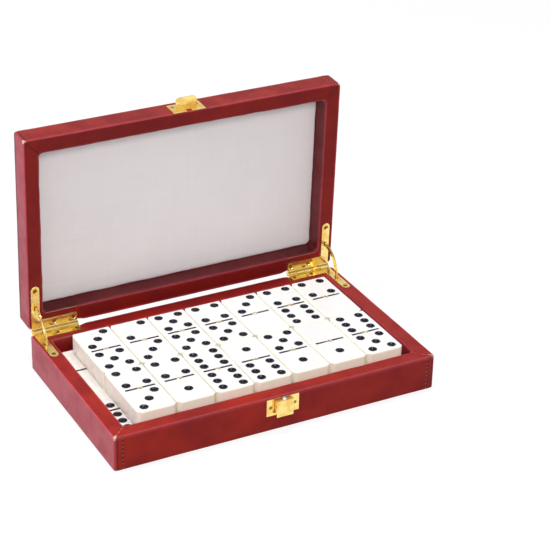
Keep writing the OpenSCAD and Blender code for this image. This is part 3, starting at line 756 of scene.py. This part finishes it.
    def mesh_data(self):
        """All points and faces. The lid's go over its top and come back under it to the inner wall."""
        points = self.points.reshape(-1, 3)
        rings, count = len(self.section), self.count
        if not self.has_top:
            return points, ring_faces(rings, count, True)
        top, skin, wall = self.mm.lid_height, self.mm.skin, self.mm.wall
        last = self.points[-1]
        layers = [points]
        shares = (0.985, 0.96, 0.9, 0.8, 0.66, 0.5, 0.33, 0.16)
        for share_left in shares + shares[::-1]:
            layers.append(last * (share_left, share_left, 1))
        for ring in layers[1: len(shares) + 1]:
            ring[:, 2] = top + 0.06 * ripple(ring, 30, self.seed + 5)
        for ring in layers[len(shares) + 1:]:
            ring[:, 2] = top - skin
        under = [(skin, depth) for depth in (top - skin, 8, 2.5)]
        under += [(inset, skin + RIM_EXTRA) for inset in (skin, 4, 7, wall - skin)]
        under += [(wall - skin, depth) for depth in (4, self.section[0][1])]
        for inset, depth in under:
            ring, _ = self.loop.ring(HALF_W - inset, HALF_D - inset, 2.0)
            layers.append(np.column_stack([ring, np.full(count, depth)]))
        points = np.concatenate(layers)
        total = rings + 2 * len(shares) + len(under)
        faces = ring_faces(total, count, True)
        join = rings + len(shares) - 1
        faces = [f for f in faces if f[0] // count != join or f[2] // count != join + 1]
        middle_top, middle_under = len(points), len(points) + 1
        points = np.vstack([points, [[0, 0, top], [0, 0, top - skin]]])
        for j in range(count):
            k = (j + 1) % count
            faces.append((join * count + j, join * count + k, middle_top))
            faces.append((middle_under, (join + 1) * count + k, (join + 1) * count + j))
        return points, faces

    def piece(self, name, material, rim_z, upward, turn=None):
        points, faces = self.mesh_data()
        attributes = {}
        for key, values in (("edge", self.edge), ("wear", self.wear), ("painted_shade", self.painted_shade)):
            padded = np.zeros(len(points))
            padded[: values.size] = values.reshape(-1)
            attributes[key] = np.clip(padded, 0, 1)
        made = new_piece(name, from_rim(points, rim_z, upward), faces, material, None, attributes)
        cut_slots(made, self.mm, rim_z)
        if turn is not None:
            made.data.transform(turn)
        return made


def cut_slots(piece, mm, rim_z):
    """Opens the skin where the quadrant stays pass through it."""
    arm_x = HALF_W - mm.arm_inset
    half_x, half_y, half_z = SLOT_HALVES
    corners, faces = [], []
    for side in (-1, 1):
        start = len(corners)
        corners += [
            (side * arm_x + x, AXIS_Y - mm.stay_radius + y, rim_z + z)
            for z in (-half_z, half_z) for y in (-half_y, half_y) for x in (-half_x, half_x)
        ]
        faces += [tuple(start + i for i in f) for f in (
            (0, 2, 3, 1), (4, 5, 7, 6), (0, 1, 5, 4), (2, 6, 7, 3), (0, 4, 6, 2), (1, 3, 7, 5)
        )]
    cutter = new_piece("slot_cutter", corners, faces, piece.data.materials[0])
    modifier = piece.modifiers.new("slots", "BOOLEAN")
    modifier.operation, modifier.solver, modifier.object = "DIFFERENCE", "EXACT", cutter
    baked(piece)
    bpy.data.objects.remove(cutter)
    if not piece.data.vertices:
        raise RuntimeError("the slots left nothing of " + piece.name)


# ---------------------------------------------------------------- linings

# Length that the rings of a flat piece keep for its corners at each end of a side
CORNER_ROOM = 16
# Sections of (distance in from the walls, depth below the rim or floor board, whether it is the face)
PAD_SECTION = ((0.05, 12.75, False), (0.35, 12.4, True), (0.9, 12.2, True), (1.8, 12.08, True),
               (3.2, 12.02, True), (5.5, 12.0, True), (9, 12.0, True))
CLOTH_SECTION = ((0.05, -0.02, False), (0.05, -0.35, True), (0.5, -0.47, True), (2, -0.48, True),
                 (9, -0.48, True))
# Section of the sheet under the base: (distance in from the case's faces, height)
SOLE_SECTION = ((1.0, 0.35), (1.15, 0.12), (1.5, 0.0), (3, 0.0), (8, 0.0))


def lining_layers(mm, section, seed, wave, crown):
    """Rings of a flat lining with a wandering edge, from its section of (inset, depth, whether it is part
    of the face), then smaller and smaller ones. wave is the wander of its edge and crown its unevenness."""
    room, corner = mm.wall, mm.inner_corner
    half_w, half_d = HALF_W - room, HALF_D - room
    loop = Round(half_w - CORNER_ROOM, half_d - CORNER_ROOM, 0, 0, 1.5, 1.5)

    def uneven(places):
        return ripple(places, 24, seed + 2) * 0.5 + 0.3 * ripple(places, 9, seed + 3)

    layers = []
    for inset, depth, is_face in section:
        radius = corner + (0 if inset < 1 else min(inset, 8) * 0.4)
        ring, normal = loop.ring(half_w - inset, half_d - inset, radius)
        points = np.column_stack([ring, np.full(len(ring), float(depth))])
        flat = points * (1, 1, 0)
        edge = wave * (ripple(flat, 16, seed) + 0.5 * ripple(flat, 6, seed + 1)) * math.exp(-inset / 3)
        points[:, :2] -= normal * np.maximum(edge, -0.15)[:, None]
        if is_face:
            points[:, 2] -= crown * uneven(flat)
        layers.append(points)
    inset, depth, _ = section[-1]
    outer = loop.ring(half_w - inset, half_d - inset, corner + 3.2)[0]
    for share_left in (0.93, 0.84, 0.74, 0.63, 0.52, 0.41, 0.3, 0.19, 0.09):
        ring = np.column_stack([outer * share_left, np.full(len(outer), float(depth))])
        ring[:, 2] -= crown * (uneven(ring) + 0.6 * (1 - share_left))
        layers.append(ring)
    return layers


def lining_piece(name, mm, section, back_depth, rim_z, upward, seed, wave, crown, turn=None):
    """A closed lining whose back lies flat at back_depth."""
    layers = lining_layers(mm, section, seed, wave, crown)
    back = layers[0].copy()
    back[:, 2] = back_depth
    middle_depth = float(section[-1][1]) - crown * 0.6
    points, faces = capped([back * (0.5, 0.5, 1), back] + layers, (0, 0, back_depth), (0, 0, middle_depth))
    return new_piece(name, from_rim(points, rim_z, upward), faces, finish("lining_cloth"), turn)


# ---------------------------------------------------------------- geometry node helpers


def node_group(name, inputs):
    """A geometry tree with a Geometry input and output and the named inputs given."""
    tree = bpy.data.node_groups.new(name, "GeometryNodeTree")
    tree.interface.new_socket("Geometry", in_out="INPUT", socket_type="NodeSocketGeometry")
    for label, kind in inputs:
        tree.interface.new_socket(label, in_out="INPUT", socket_type=kind)
    tree.interface.new_socket("Geometry", in_out="OUTPUT", socket_type="NodeSocketGeometry")
    source = tree.nodes.new("NodeGroupInput")
    target = tree.nodes.new("NodeGroupOutput")
    return tree, source.outputs, target.inputs


def run_group(name, tree, points, edges, values, kinds=None):
    """Runs a geometry tree on loose points in metres and returns the plain mesh object."""
    mesh = bpy.data.meshes.new(name)
    mesh.from_pydata([tuple(p) for p in points], edges, [])
    if kinds is not None:
        mesh.attributes.new("kind", "INT", "POINT").data.foreach_set("value", kinds)
    piece = bpy.data.objects.new(name, mesh)
    bpy.context.scene.collection.objects.link(piece)
    modifier = piece.modifiers.new(name, "NODES")
    modifier.node_group = tree
    for item in tree.interface.items_tree:
        if item.in_out == "INPUT" and item.name in values:
            modifier[item.identifier] = values[item.name]
    baked(piece)
    if not piece.data.polygons:
        raise RuntimeError("the geometry tree made no faces for " + name)
    return piece


# Where the rows of stitches end: distance from the rims, from the base's foot and from the lid's top
RIM_MARGIN, FOOT_MARGIN, TOP_MARGIN = 1.6, 1.2, 1.8
# How far the middle of a thread lies inside the face
THREAD_SINK = 0.08


def painted(tree, geometry, material):
    return output(tree, "GeometryNodeSetMaterial", {"Geometry": geometry, "Material": material})


def shifted(tree, geometry, z):
    offset = output(tree, "ShaderNodeCombineXYZ", {"Z": z})
    return output(tree, "GeometryNodeTransform", {"Geometry": geometry, "Translation": offset})


def stitch_tree():
    """Lays beads of thread along edges, each as long as a stitch."""
    tree, source, target = node_group("Stitches", (
        ("Pitch", "NodeSocketFloat"), ("Length", "NodeSocketFloat"), ("Width", "NodeSocketFloat"),
        ("Thread", "NodeSocketMaterial"),
    ))
    line = output(tree, "GeometryNodeMeshToCurve", {0: source["Geometry"]})
    spacing = {"Curve": line, "Length": source["Pitch"]}
    spots = output(tree, "GeometryNodeResampleCurve", spacing, mode="LENGTH")
    tangent = output(tree, "GeometryNodeInputTangent")
    along = output(tree, "FunctionNodeAlignRotationToVector", {"Vector": tangent}, axis="Z")
    size = output(tree, "ShaderNodeCombineXYZ", {
        "X": source["Width"], "Y": source["Width"], "Z": source["Length"]
    })
    bead = output(tree, "GeometryNodeMeshUVSphere", {"Segments": 8, "Rings": 6, "Radius": 0.5})
    bead = output(tree, "GeometryNodeTransform", {"Geometry": bead, "Scale": size})
    placed = output(tree, "GeometryNodeInstanceOnPoints", {
        "Points": spots, "Instance": bead, "Rotation": along
    })
    solid = painted(tree, output(tree, "GeometryNodeRealizeInstances", {0: placed}), source["Thread"])
    put(tree, target["Geometry"], output(tree, "GeometryNodeSetShadeSmooth", {"Geometry": solid}))
    return tree


# Pairs of shares of the radius and of the height, from the middle of the top to the middle of the foot
PIP_PROFILE = ((0, 0.08), (0.43, 0.27), (0.74, 0.68), (0.907, 1), (1, 0.97), (0.61, 0.15), (0, 0))
SPINNER_PROFILE = ((0, 1), (0.42, 0.94), (0.78, 0.66), (0.96, 0.32), (1, 0), (0, 0))
# Where a bar ends beside the spinner, as a share of the spinner's radius
BAR_GAP = 1.12


def curve_of(tree, value, heights):
    """Reads the value, from 0 to 1, off a line through evenly spaced heights."""
    made = add(tree, "ShaderNodeFloatCurve", {1: value})
    made.mapping.use_clip = False
    points, last = made.mapping.curves[0].points, len(heights) - 1
    points[0].location, points[1].location = (0, heights[0]), (1, heights[-1])
    for i in range(1, last):
        points.new(i / last, heights[i])
    for point in points:
        point.handle_type = "VECTOR"
    made.mapping.update()
    return made.outputs[0]


def turned(tree, profile, sides, radius, height):
    """A closed round body from a profile's shares of its radius and height, with its foot at 0."""
    cone = output(tree, "GeometryNodeMeshCone", {
        "Vertices": sides, "Side Segments": len(profile) - 1,
        "Radius Top": 1.0, "Radius Bottom": 0.0, "Depth": 1.0
    }, fill_type="NONE")
    place = output(tree, "GeometryNodeInputPosition")
    flat = output(tree, "ShaderNodeVectorMath", {0: place, 1: (1, 1, 0)}, operation="MULTIPLY")
    step = add(tree, "ShaderNodeVectorMath", {0: flat}, operation="LENGTH").outputs["Value"]
    way = output(tree, "ShaderNodeVectorMath", {0: flat}, operation="NORMALIZE")
    out = times(tree, curve_of(tree, step, [p[0] for p in profile]), radius)
    split = add(tree, "ShaderNodeSeparateXYZ", {0: way}).outputs
    moved = output(tree, "ShaderNodeCombineXYZ", {
        "X": times(tree, split[0], out), "Y": times(tree, split[1], out),
        "Z": times(tree, curve_of(tree, step, [p[1] for p in profile]), height)
    })
    body = output(tree, "GeometryNodeSetPosition", {"Geometry": cone, "Position": moved})
    closed = output(tree, "GeometryNodeMergeByDistance", {"Geometry": body, "Distance": 0.00001})
    return output(tree, "GeometryNodeFlipFaces", {"Mesh": closed})


def marks_tree():
    """Puts a pip, half a bar or a spinner on each point, by its kind 0, 1 or 2."""
    lengths = ("Pip radius", "Pip depth", "Paint", "Bar length", "Bar width", "Bar depth", "Spinner radius",
               "Spinner rise")
    tree, source, target = node_group("Tile marks", (
        *((label, "NodeSocketFloat") for label in lengths), ("Pip sides", "NodeSocketInt"),
        ("Enamel", "NodeSocketMaterial"), ("Brass", "NodeSocketMaterial"),
    ))
    kind = add(tree, "GeometryNodeInputNamedAttribute", {"Name": "kind"}, data_type="INT")

    # A pip is a hollow lined with enamel that laps a little on the face
    lap = source["Paint"]
    height = maths(tree, "ADD", source["Pip depth"], lap)
    pip = turned(tree, PIP_PROFILE, source["Pip sides"], source["Pip radius"], height)
    pip = shifted(tree, painted(tree, pip, source["Enamel"]), times(tree, source["Pip depth"], -1.0))

    # Half a bar: enamel that fills its groove and falls off at both sides
    half = maths(tree, "SUBTRACT", times(tree, source["Bar length"], 0.5),
                 times(tree, source["Spinner radius"], BAR_GAP))
    thick = maths(tree, "ADD", source["Bar depth"], lap)
    size = output(tree, "ShaderNodeCombineXYZ", {"X": half, "Y": source["Bar width"], "Z": thick})
    slab = output(tree, "GeometryNodeMeshCube", {
        "Size": size, "Vertices X": 2, "Vertices Y": 7, "Vertices Z": 2
    })
    place = output(tree, "GeometryNodeInputPosition")
    split = add(tree, "ShaderNodeSeparateXYZ", {0: place}).outputs
    across = maths(tree, "DIVIDE", split[1], times(tree, source["Bar width"], 0.5))
    fall = maths(tree, "POWER", maths(tree, "ABSOLUTE", across), 3.0)
    fall = times(tree, fall, times(tree, lap, -1.6))
    is_top = maths(tree, "GREATER_THAN", split[2], 0.0)
    lift = output(tree, "ShaderNodeCombineXYZ", {"Z": times(tree, fall, is_top)})
    slab = output(tree, "GeometryNodeSetPosition", {"Geometry": slab, "Offset": lift})
    slab = painted(tree, slab, source["Enamel"])
    slab = shifted(tree, slab, maths(tree, "ADD", times(tree, thick, -0.5), lap))

    # The spinner's domed head, which stands a little over the face
    rise = source["Spinner rise"]
    spinner = turned(tree, SPINNER_PROFILE, 16, source["Spinner radius"], rise)
    spinner = shifted(tree, painted(tree, spinner, source["Brass"]), times(tree, rise, -0.72))

    marks = add(tree, "GeometryNodeJoinGeometry")
    for value, shape in enumerate((pip, slab, spinner)):
        pair = {2: kind.outputs["Attribute"], 3: value}
        chosen = output(tree, "FunctionNodeCompare", pair, data_type="INT", operation="EQUAL")
        placed = output(tree, "GeometryNodeInstanceOnPoints", {
            "Points": source["Geometry"], "Selection": chosen, "Instance": shape
        })
        put(tree, marks.inputs[0], placed)
    solid = output(tree, "GeometryNodeRealizeInstances", {0: marks.outputs[0]})
    put(tree, target["Geometry"], output(tree, "GeometryNodeSetShadeSmooth", {"Geometry": solid}))
    return tree


def pip_places(count):
    """Steps of the pips on one half, from its middle."""
    places = [(0, 0)] if count % 2 else []
    if count > 1:
        places += [(-1, -1), (1, 1)]
    if count > 3:
        places += [(-1, 1), (1, -1)]
    if count > 5:
        places += [(-1, 0), (1, 0)]
    return places


def tile_marks(tiles, halves):
    """Points and kinds (0 pip, 1 half a bar, 2 spinner) of one tile's marks, in metres."""
    low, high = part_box(tile_node(halves))
    middle_x, middle_y, top = (low.x + high.x) / 2, (low.y + high.y) / 2, high.z
    points, kinds = [], []
    for sign, count in ((1, halves[0]), (-1, halves[1])):
        for across, along in pip_places(count):
            points.append((
                middle_x + across * tiles.pip_across,
                middle_y + sign * tiles.half_centre + along * tiles.pip_along, top
            ))
            kinds.append(0)
    reach = tiles.bar_length / 4 + tiles.spinner_radius * (BAR_GAP / 2)
    for side in (-1, 1):
        points.append((middle_x + side * reach, middle_y, top))
        kinds.append(1)
    points.append((middle_x, middle_y, top))
    kinds.append(2)
    return points, kinds


# ---------------------------------------------------------------- operators


class DOMINOCASE_OT_finishes(bpy.types.Operator):
    """Makes every material of the case"""

    bl_idname = "dominocase.finishes"
    bl_label = "Finishes"

    def execute(self, context):
        look = context.scene.domino_look
        leather_finish(look)
        leather_finish(look, "sole_leatherette", 0.62)
        cloth_finish(look)
        metal_finish("case_brass", look.brass, look.brass_dull, look.brass_roughness)
        metal_finish("screw_brass", look.screw, darker(0.4, look.screw), 0.3)
        metal_finish("latch_steel", look.steel, darker(0.6, look.steel), 0.18)
        metal_finish("spinner_brass", look.spinner, look.brass, 0.16)
        board_finish(look)
        ivory_finish(look)
        paint_finish(look)
        thread_finish(look)
        return {"FINISHED"}


class DOMINOCASE_OT_base_skin(bpy.types.Operator):
    """Covers the base's walls in leatherette, with beds for the hinges"""

    bl_idname = "dominocase.base_skin"
    bl_label = "Base leatherette"

    def execute(self, context):
        mm = Millimetres(context.scene.domino_sizes)
        skin = Skin(mm, RIM_Z - mm.floor_top, RIM_Z - BASE_LOW[2], 3, False)
        piece = skin.piece("base_skin", finish("case_leatherette"), RIM_Z, False)
        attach(piece, "base")
        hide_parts("base_leather")
        return {"FINISHED"}


class DOMINOCASE_OT_lid_skin(bpy.types.Operator):
    """Covers the lid in leatherette, with beds for the hinges"""

    bl_idname = "dominocase.lid_skin"
    bl_label = "Lid leatherette"

    def execute(self, context):
        sizes = context.scene.domino_sizes
        mm = Millimetres(sizes)
        skin = Skin(mm, mm.lid_room - 0.1, mm.lid_height, 11, True)
        rim = RIM_Z + mm.rim_gap
        piece = skin.piece("lid_skin", finish("case_leatherette"), rim, True, lid_turn(sizes))
        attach(piece, "lid")
        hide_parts("lid_leather")
        return {"FINISHED"}


class DOMINOCASE_OT_base_sole(bpy.types.Operator):
    """Adds the sheet under the base"""

    bl_idname = "dominocase.base_sole"
    bl_label = "Base underside"

    def execute(self, context):
        skin = Millimetres(context.scene.domino_sizes).skin
        loop = Round(HALF_W - CORNER_ROOM, HALF_D - CORNER_ROOM, 0, 0, 3, 3)
        layers = []
        for inset, z in ((1.0, skin - 0.02), *SOLE_SECTION):
            ring, _ = loop.ring(HALF_W - inset, HALF_D - inset, 2.5)
            layers.append(np.column_stack([ring, np.full(len(ring), z)]))
        layers += [layers[-1] * (share_left, share_left, 1) for share_left in (0.7, 0.4, 0.15)]
        layers = [layers[0] * (0.4, 0.4, 1)] + layers
        points, faces = capped(layers, (0, 0, skin - 0.02), (0, 0, 0))
        piece = new_piece("base_sole", points, faces, finish("sole_leatherette"))
        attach(piece, "base")
        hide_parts("base_underside")
        return {"FINISHED"}


class DOMINOCASE_OT_lid_pad(bpy.types.Operator):
    """Lays the padded lining in the lid"""

    bl_idname = "dominocase.lid_pad"
    bl_label = "Lid lining"

    def execute(self, context):
        sizes = context.scene.domino_sizes
        mm = Millimetres(sizes)
        back, rim = mm.lid_room - 0.02, RIM_Z + mm.rim_gap
        section = ((0.05, back - 0.1, False), *PAD_SECTION)
        piece = lining_piece("lid_pad", mm, section, back, rim, True, 21, 0.35, 0.22, lid_turn(sizes))
        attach(piece, "lid")
        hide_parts("lid_lining")
        return {"FINISHED"}


class DOMINOCASE_OT_floor_cloth(bpy.types.Operator):
    """Lays the cloth on the floor of the base"""

    bl_idname = "dominocase.floor_cloth"
    bl_label = "Floor cloth"

    def execute(self, context):
        mm = Millimetres(context.scene.domino_sizes)
        piece = lining_piece("floor_cloth", mm, CLOTH_SECTION, 0.0, mm.floor_top, False, 31, 0.05, 0.02)
        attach(piece, "base")
        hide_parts("base_floor_lining")
        inside = (2 * (HALF_W - mm.wall) * MM, 2 * (HALF_D - mm.wall) * MM)
        return {"FINISHED"}


class DOMINOCASE_OT_stitches(bpy.types.Operator):
    """Sews the rows of stitches beside the case's corners"""

    bl_idname = "dominocase.stitches"
    bl_label = "Stitches"

    def execute(self, context):
        sizes = context.scene.domino_sizes
        mm = Millimetres(sizes)
        tree = stitch_tree()
        values = {
            "Pitch": sizes.stitch_pitch, "Length": sizes.stitch_length, "Width": sizes.stitch_width,
            "Thread": finish("seam_thread"),
        }
        lid_low = RIM_Z + mm.rim_gap
        lid_high = lid_low + mm.lid_height - TOP_MARGIN
        halves = (
            ("base_stitches", "base", BASE_LOW[2] + FOOT_MARGIN, RIM_Z - RIM_MARGIN, None),
            ("lid_stitches", "lid", lid_low + RIM_MARGIN, lid_high, lid_turn(sizes)),
        )
        for name, body, low, high, turn in halves:
            points, edges = [], []
            for x in (-1, 1):
                for y in (-1, 1):
                    place_x = x * (HALF_W - mm.stitch_inset)
                    for z in (low, high):
                        points.append(Vector((place_x, y * (HALF_D - THREAD_SINK), z)) * MM)
                    edges.append((len(points) - 2, len(points) - 1))
            if turn is not None:
                points = [turn @ p for p in points]
            piece = run_group(name, tree, points, edges, values)
            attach(piece, body)
        return {"FINISHED"}


class DOMINOCASE_OT_tile_marks(bpy.types.Operator):
    """Paints the pips and bars and sets the spinners' heads"""

    bl_idname = "dominocase.tile_marks"
    bl_label = "Pips, bars and spinners"

    def execute(self, context):
        tiles = context.scene.domino_tiles
        tree = marks_tree()
        names = ("pip_radius", "pip_depth", "paint", "pip_sides", "bar_length", "bar_width", "bar_depth",
                 "spinner_radius", "spinner_rise")
        values = {name.capitalize().replace("_", " "): getattr(tiles, name) for name in names}
        values.update(Enamel=finish("pip_enamel"), Brass=finish("spinner_brass"))
        by_body = {tile_node(halves): [halves] for row in TOP_ROWS for halves in row}
        by_body["bottom_layer"] = [halves for row in BOTTOM_ROWS for halves in row]
        for body, members in by_body.items():
            points, kinds = [], []
            for halves in members:
                more_points, more_kinds = tile_marks(tiles, halves)
                points += more_points
                kinds += more_kinds
            piece = run_group("marks_" + body, tree, points, [], values, kinds)
            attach(piece, body)
        return {"FINISHED"}


class DOMINOCASE_OT_hardware(bpy.types.Operator):
    """Polishes the hinges, stays, screws and latch"""

    bl_idname = "dominocase.hardware"
    bl_label = "Brass and steel"

    def execute(self, context):
        steel = ["latch_nose", "latch_spring"]
        fixings = [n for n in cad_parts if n.endswith(("_screws", "_nails"))]
        metal = [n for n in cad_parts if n.startswith(("hinge_", "latch_"))]
        brass = [n for n in metal if n not in steel + fixings]
        repaint(brass, finish("case_brass"))
        repaint(fixings, finish("screw_brass"))
        repaint(steel, finish("latch_steel"))
        return {"FINISHED"}


class DOMINOCASE_OT_boards(bpy.types.Operator):
    """Finishes the fibreboards under the leatherette"""

    bl_idname = "dominocase.boards"
    bl_label = "Boards"

    def execute(self, context):
        repaint([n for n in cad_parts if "_wall_" in n or n.endswith("_board")], finish("case_board"))
        return {"FINISHED"}


class DOMINOCASE_OT_tiles(bpy.types.Operator):
    """Gives the 28 tiles their ivory"""

    bl_idname = "dominocase.tiles"
    bl_label = "Tiles"

    def execute(self, context):
        repaint([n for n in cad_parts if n.startswith("domino_")], finish("cast_ivory"))
        return {"FINISHED"}


# ---------------------------------------------------------------- stage

# Each lamp's name, place and target in metres, width, height, power and colour
LAMPS = (
    ("key", (-0.30, 0.12, 1.30), (0, 0, 0.03), 0.14, 0.14, 4.0, (1, 0.96, 0.91)),
    ("second", (0.26, 0.12, 1.30), (0, 0, 0.03), 0.14, 0.14, 3.4, (1, 0.96, 0.91)),
    ("front", (-0.35, -1.25, 1.00), (0, 0, 0.06), 0.6, 0.6, 11.2, (1, 0.98, 0.97)),
    ("side", (-1.3, 0.1, 0.5), (0, 0, 0.05), 0.8, 0.6, 6.5, (0.84, 0.78, 1.0)),
)
# The floor's half width in metres
FLOOR_REACH = 6.0
# The fitted camera: azimuth, elevation and roll, place in millimetres, focal length in the photo's pixels
CAMERA_ANGLES = (-0.4941, 0.4889, 0.02334)
CAMERA_PLACE = (-466.64, -921.10, 623.21)
FOCAL_PIXELS, PHOTO_PIXELS = 1909.43, 550
SENSOR = 36.0


def stage_floor(look):
    """A floor that lights and shades the case as plain grey and is seen almost white."""
    material = bpy.data.materials.new("studio_floor")
    material.use_nodes = True
    tree = material.node_tree
    tree.nodes.clear()
    plain = output(tree, "ShaderNodeBsdfDiffuse", {"Color": look.floor})
    shaded = output(tree, "ShaderNodeBsdfDiffuse", {"Color": (0.2, 0.2, 0.2)})
    bright = output(tree, "ShaderNodeEmission", {"Color": (1, 1, 1), "Strength": 0.84})
    shown = output(tree, "ShaderNodeAddShader", {0: shaded, 1: bright})
    path = add(tree, "ShaderNodeLightPath").outputs
    seen = maths(tree, "MAXIMUM", path["Is Camera Ray"], path["Is Glossy Ray"])
    seen = maths(tree, "MAXIMUM", seen, path["Is Transmission Ray"])
    surface = output(tree, "ShaderNodeMixShader", {0: seen, 1: plain, 2: shown})
    add(tree, "ShaderNodeOutputMaterial", {"Surface": surface}, is_active_output=True)
    mesh = bpy.data.meshes.new("studio_floor")
    corners = [(x * FLOOR_REACH, y * FLOOR_REACH, 0) for x, y in ((-1, -1), (1, -1), (1, 1), (-1, 1))]
    mesh.from_pydata(corners, [], [(0, 1, 2, 3)])
    mesh.materials.append(material)
    floor = bpy.data.objects.new("studio_floor", mesh)
    floor.location.z = -0.0002
    bpy.context.scene.collection.objects.link(floor)


def stage_world():
    """A sky that is seen white, lights the case weakly and is mirrored dimmer towards its top."""
    world = bpy.data.worlds.new("studio_world")
    world.use_nodes = True
    tree = world.node_tree
    tree.nodes.clear()

    def background(tint, strength):
        return output(tree, "ShaderNodeBackground", {"Color": tint, "Strength": strength})

    white = background((1, 1, 1), 1.0)
    way = add(tree, "ShaderNodeTexCoord").outputs["Generated"]
    up = add(tree, "ShaderNodeSeparateXYZ", {0: way}).outputs[2]
    dim = maths(tree, "ADD", ramp(tree, up, 0.02, 0.35, 0.0, -0.25), ramp(tree, up, 0.5, 0.85, 0.0, -0.5))
    mirrored = background((1, 1, 1), maths(tree, "ADD", dim, 1.0))
    sky = background((0.96, 0.98, 1.0), 0.38)
    path = add(tree, "ShaderNodeLightPath").outputs
    for rays, shown in (("Glossy", mirrored), ("Transmission", white), ("Camera", white)):
        sky = output(tree, "ShaderNodeMixShader", {0: path["Is %s Ray" % rays], 1: sky, 2: shown})
    add(tree, "ShaderNodeOutputWorld", {"Surface": sky})
    bpy.context.scene.world = world


def area_light(name, place, target, width, height, power, tint):
    data = bpy.data.lights.new(name, "AREA")
    data.shape, data.size, data.size_y = "RECTANGLE", width, height
    data.energy, data.color = power, tint
    lamp = bpy.data.objects.new(name, data)
    lamp.location = place
    lamp.rotation_euler = (Vector(target) - Vector(place)).to_track_quat("-Z", "Y").to_euler()
    bpy.context.scene.collection.objects.link(lamp)


def stage_camera():
    """The camera that was fitted to the photo."""
    azimuth, elevation, roll = CAMERA_ANGLES
    level = math.cos(elevation)
    forward = Vector((-math.sin(azimuth) * level, math.cos(azimuth) * level, -math.sin(elevation)))
    right = Vector((math.cos(azimuth), math.sin(azimuth), 0))
    up = right.cross(forward)
    right, up = right * math.cos(roll) + up * math.sin(roll), up * math.cos(roll) - right * math.sin(roll)
    turn = Matrix((right, up, -forward)).transposed().to_4x4()
    data = bpy.data.cameras.new("camera")
    data.sensor_width, data.lens = SENSOR, SENSOR * FOCAL_PIXELS / PHOTO_PIXELS
    data.clip_start, data.clip_end = 0.05, 30.0
    camera = bpy.data.objects.new("camera", data)
    camera.matrix_world = Matrix.Translation(Vector(CAMERA_PLACE) * MM) @ turn
    bpy.context.scene.collection.objects.link(camera)
    bpy.context.scene.camera = camera


class DOMINOCASE_OT_stage(bpy.types.Operator):
    """Sets the floor, the soft light and the camera"""

    bl_idname = "dominocase.stage"
    bl_label = "Stage"

    def execute(self, context):
        context.scene.view_settings.view_transform = "Standard"
        stage_floor(context.scene.domino_look)
        stage_world()
        for lamp in LAMPS:
            area_light(*lamp)
        stage_camera()
        return {"FINISHED"}


PIECES = (
    DOMINOCASE_OT_finishes,
    DOMINOCASE_OT_stage,
    DOMINOCASE_OT_base_skin,
    DOMINOCASE_OT_lid_skin,
    DOMINOCASE_OT_base_sole,
    DOMINOCASE_OT_lid_pad,
    DOMINOCASE_OT_floor_cloth,
    DOMINOCASE_OT_stitches,
    DOMINOCASE_OT_tile_marks,
    DOMINOCASE_OT_hardware,
    DOMINOCASE_OT_boards,
    DOMINOCASE_OT_tiles,
)


class DOMINOCASE_PT_panel(bpy.types.Panel):
    """Sizes, colours and pieces of the domino case"""

    bl_idname = "DOMINOCASE_PT_panel"
    bl_label = "Domino Case"
    bl_space_type = "VIEW_3D"
    bl_region_type = "UI"
    bl_category = "Domino Case"

    def draw(self, context):
        scene = context.scene
        for group in (scene.domino_sizes, scene.domino_tiles, scene.domino_look):
            box = self.layout.box()
            for name in group.__annotations__:
                box.prop(group, name)
        for operator in PIECES:
            self.layout.operator(operator.bl_idname)


CLASSES = (DominoCaseSizes, DominoTileSizes, DominoCaseLook, *PIECES, DOMINOCASE_PT_panel)


def register():
    for made in CLASSES:
        bpy.utils.register_class(made)
    bpy.types.Scene.domino_sizes = PointerProperty(type=DominoCaseSizes)
    bpy.types.Scene.domino_tiles = PointerProperty(type=DominoTileSizes)
    bpy.types.Scene.domino_look = PointerProperty(type=DominoCaseLook)


def unregister():
    del bpy.types.Scene.domino_look
    del bpy.types.Scene.domino_tiles
    del bpy.types.Scene.domino_sizes
    for made in reversed(CLASSES):
        bpy.utils.unregister_class(made)


def main():
    register()
    for operator in PIECES:
        group, name = operator.bl_idname.split(".")
        getattr(getattr(bpy.ops, group), name)()


if __name__ == "__main__":
    main()
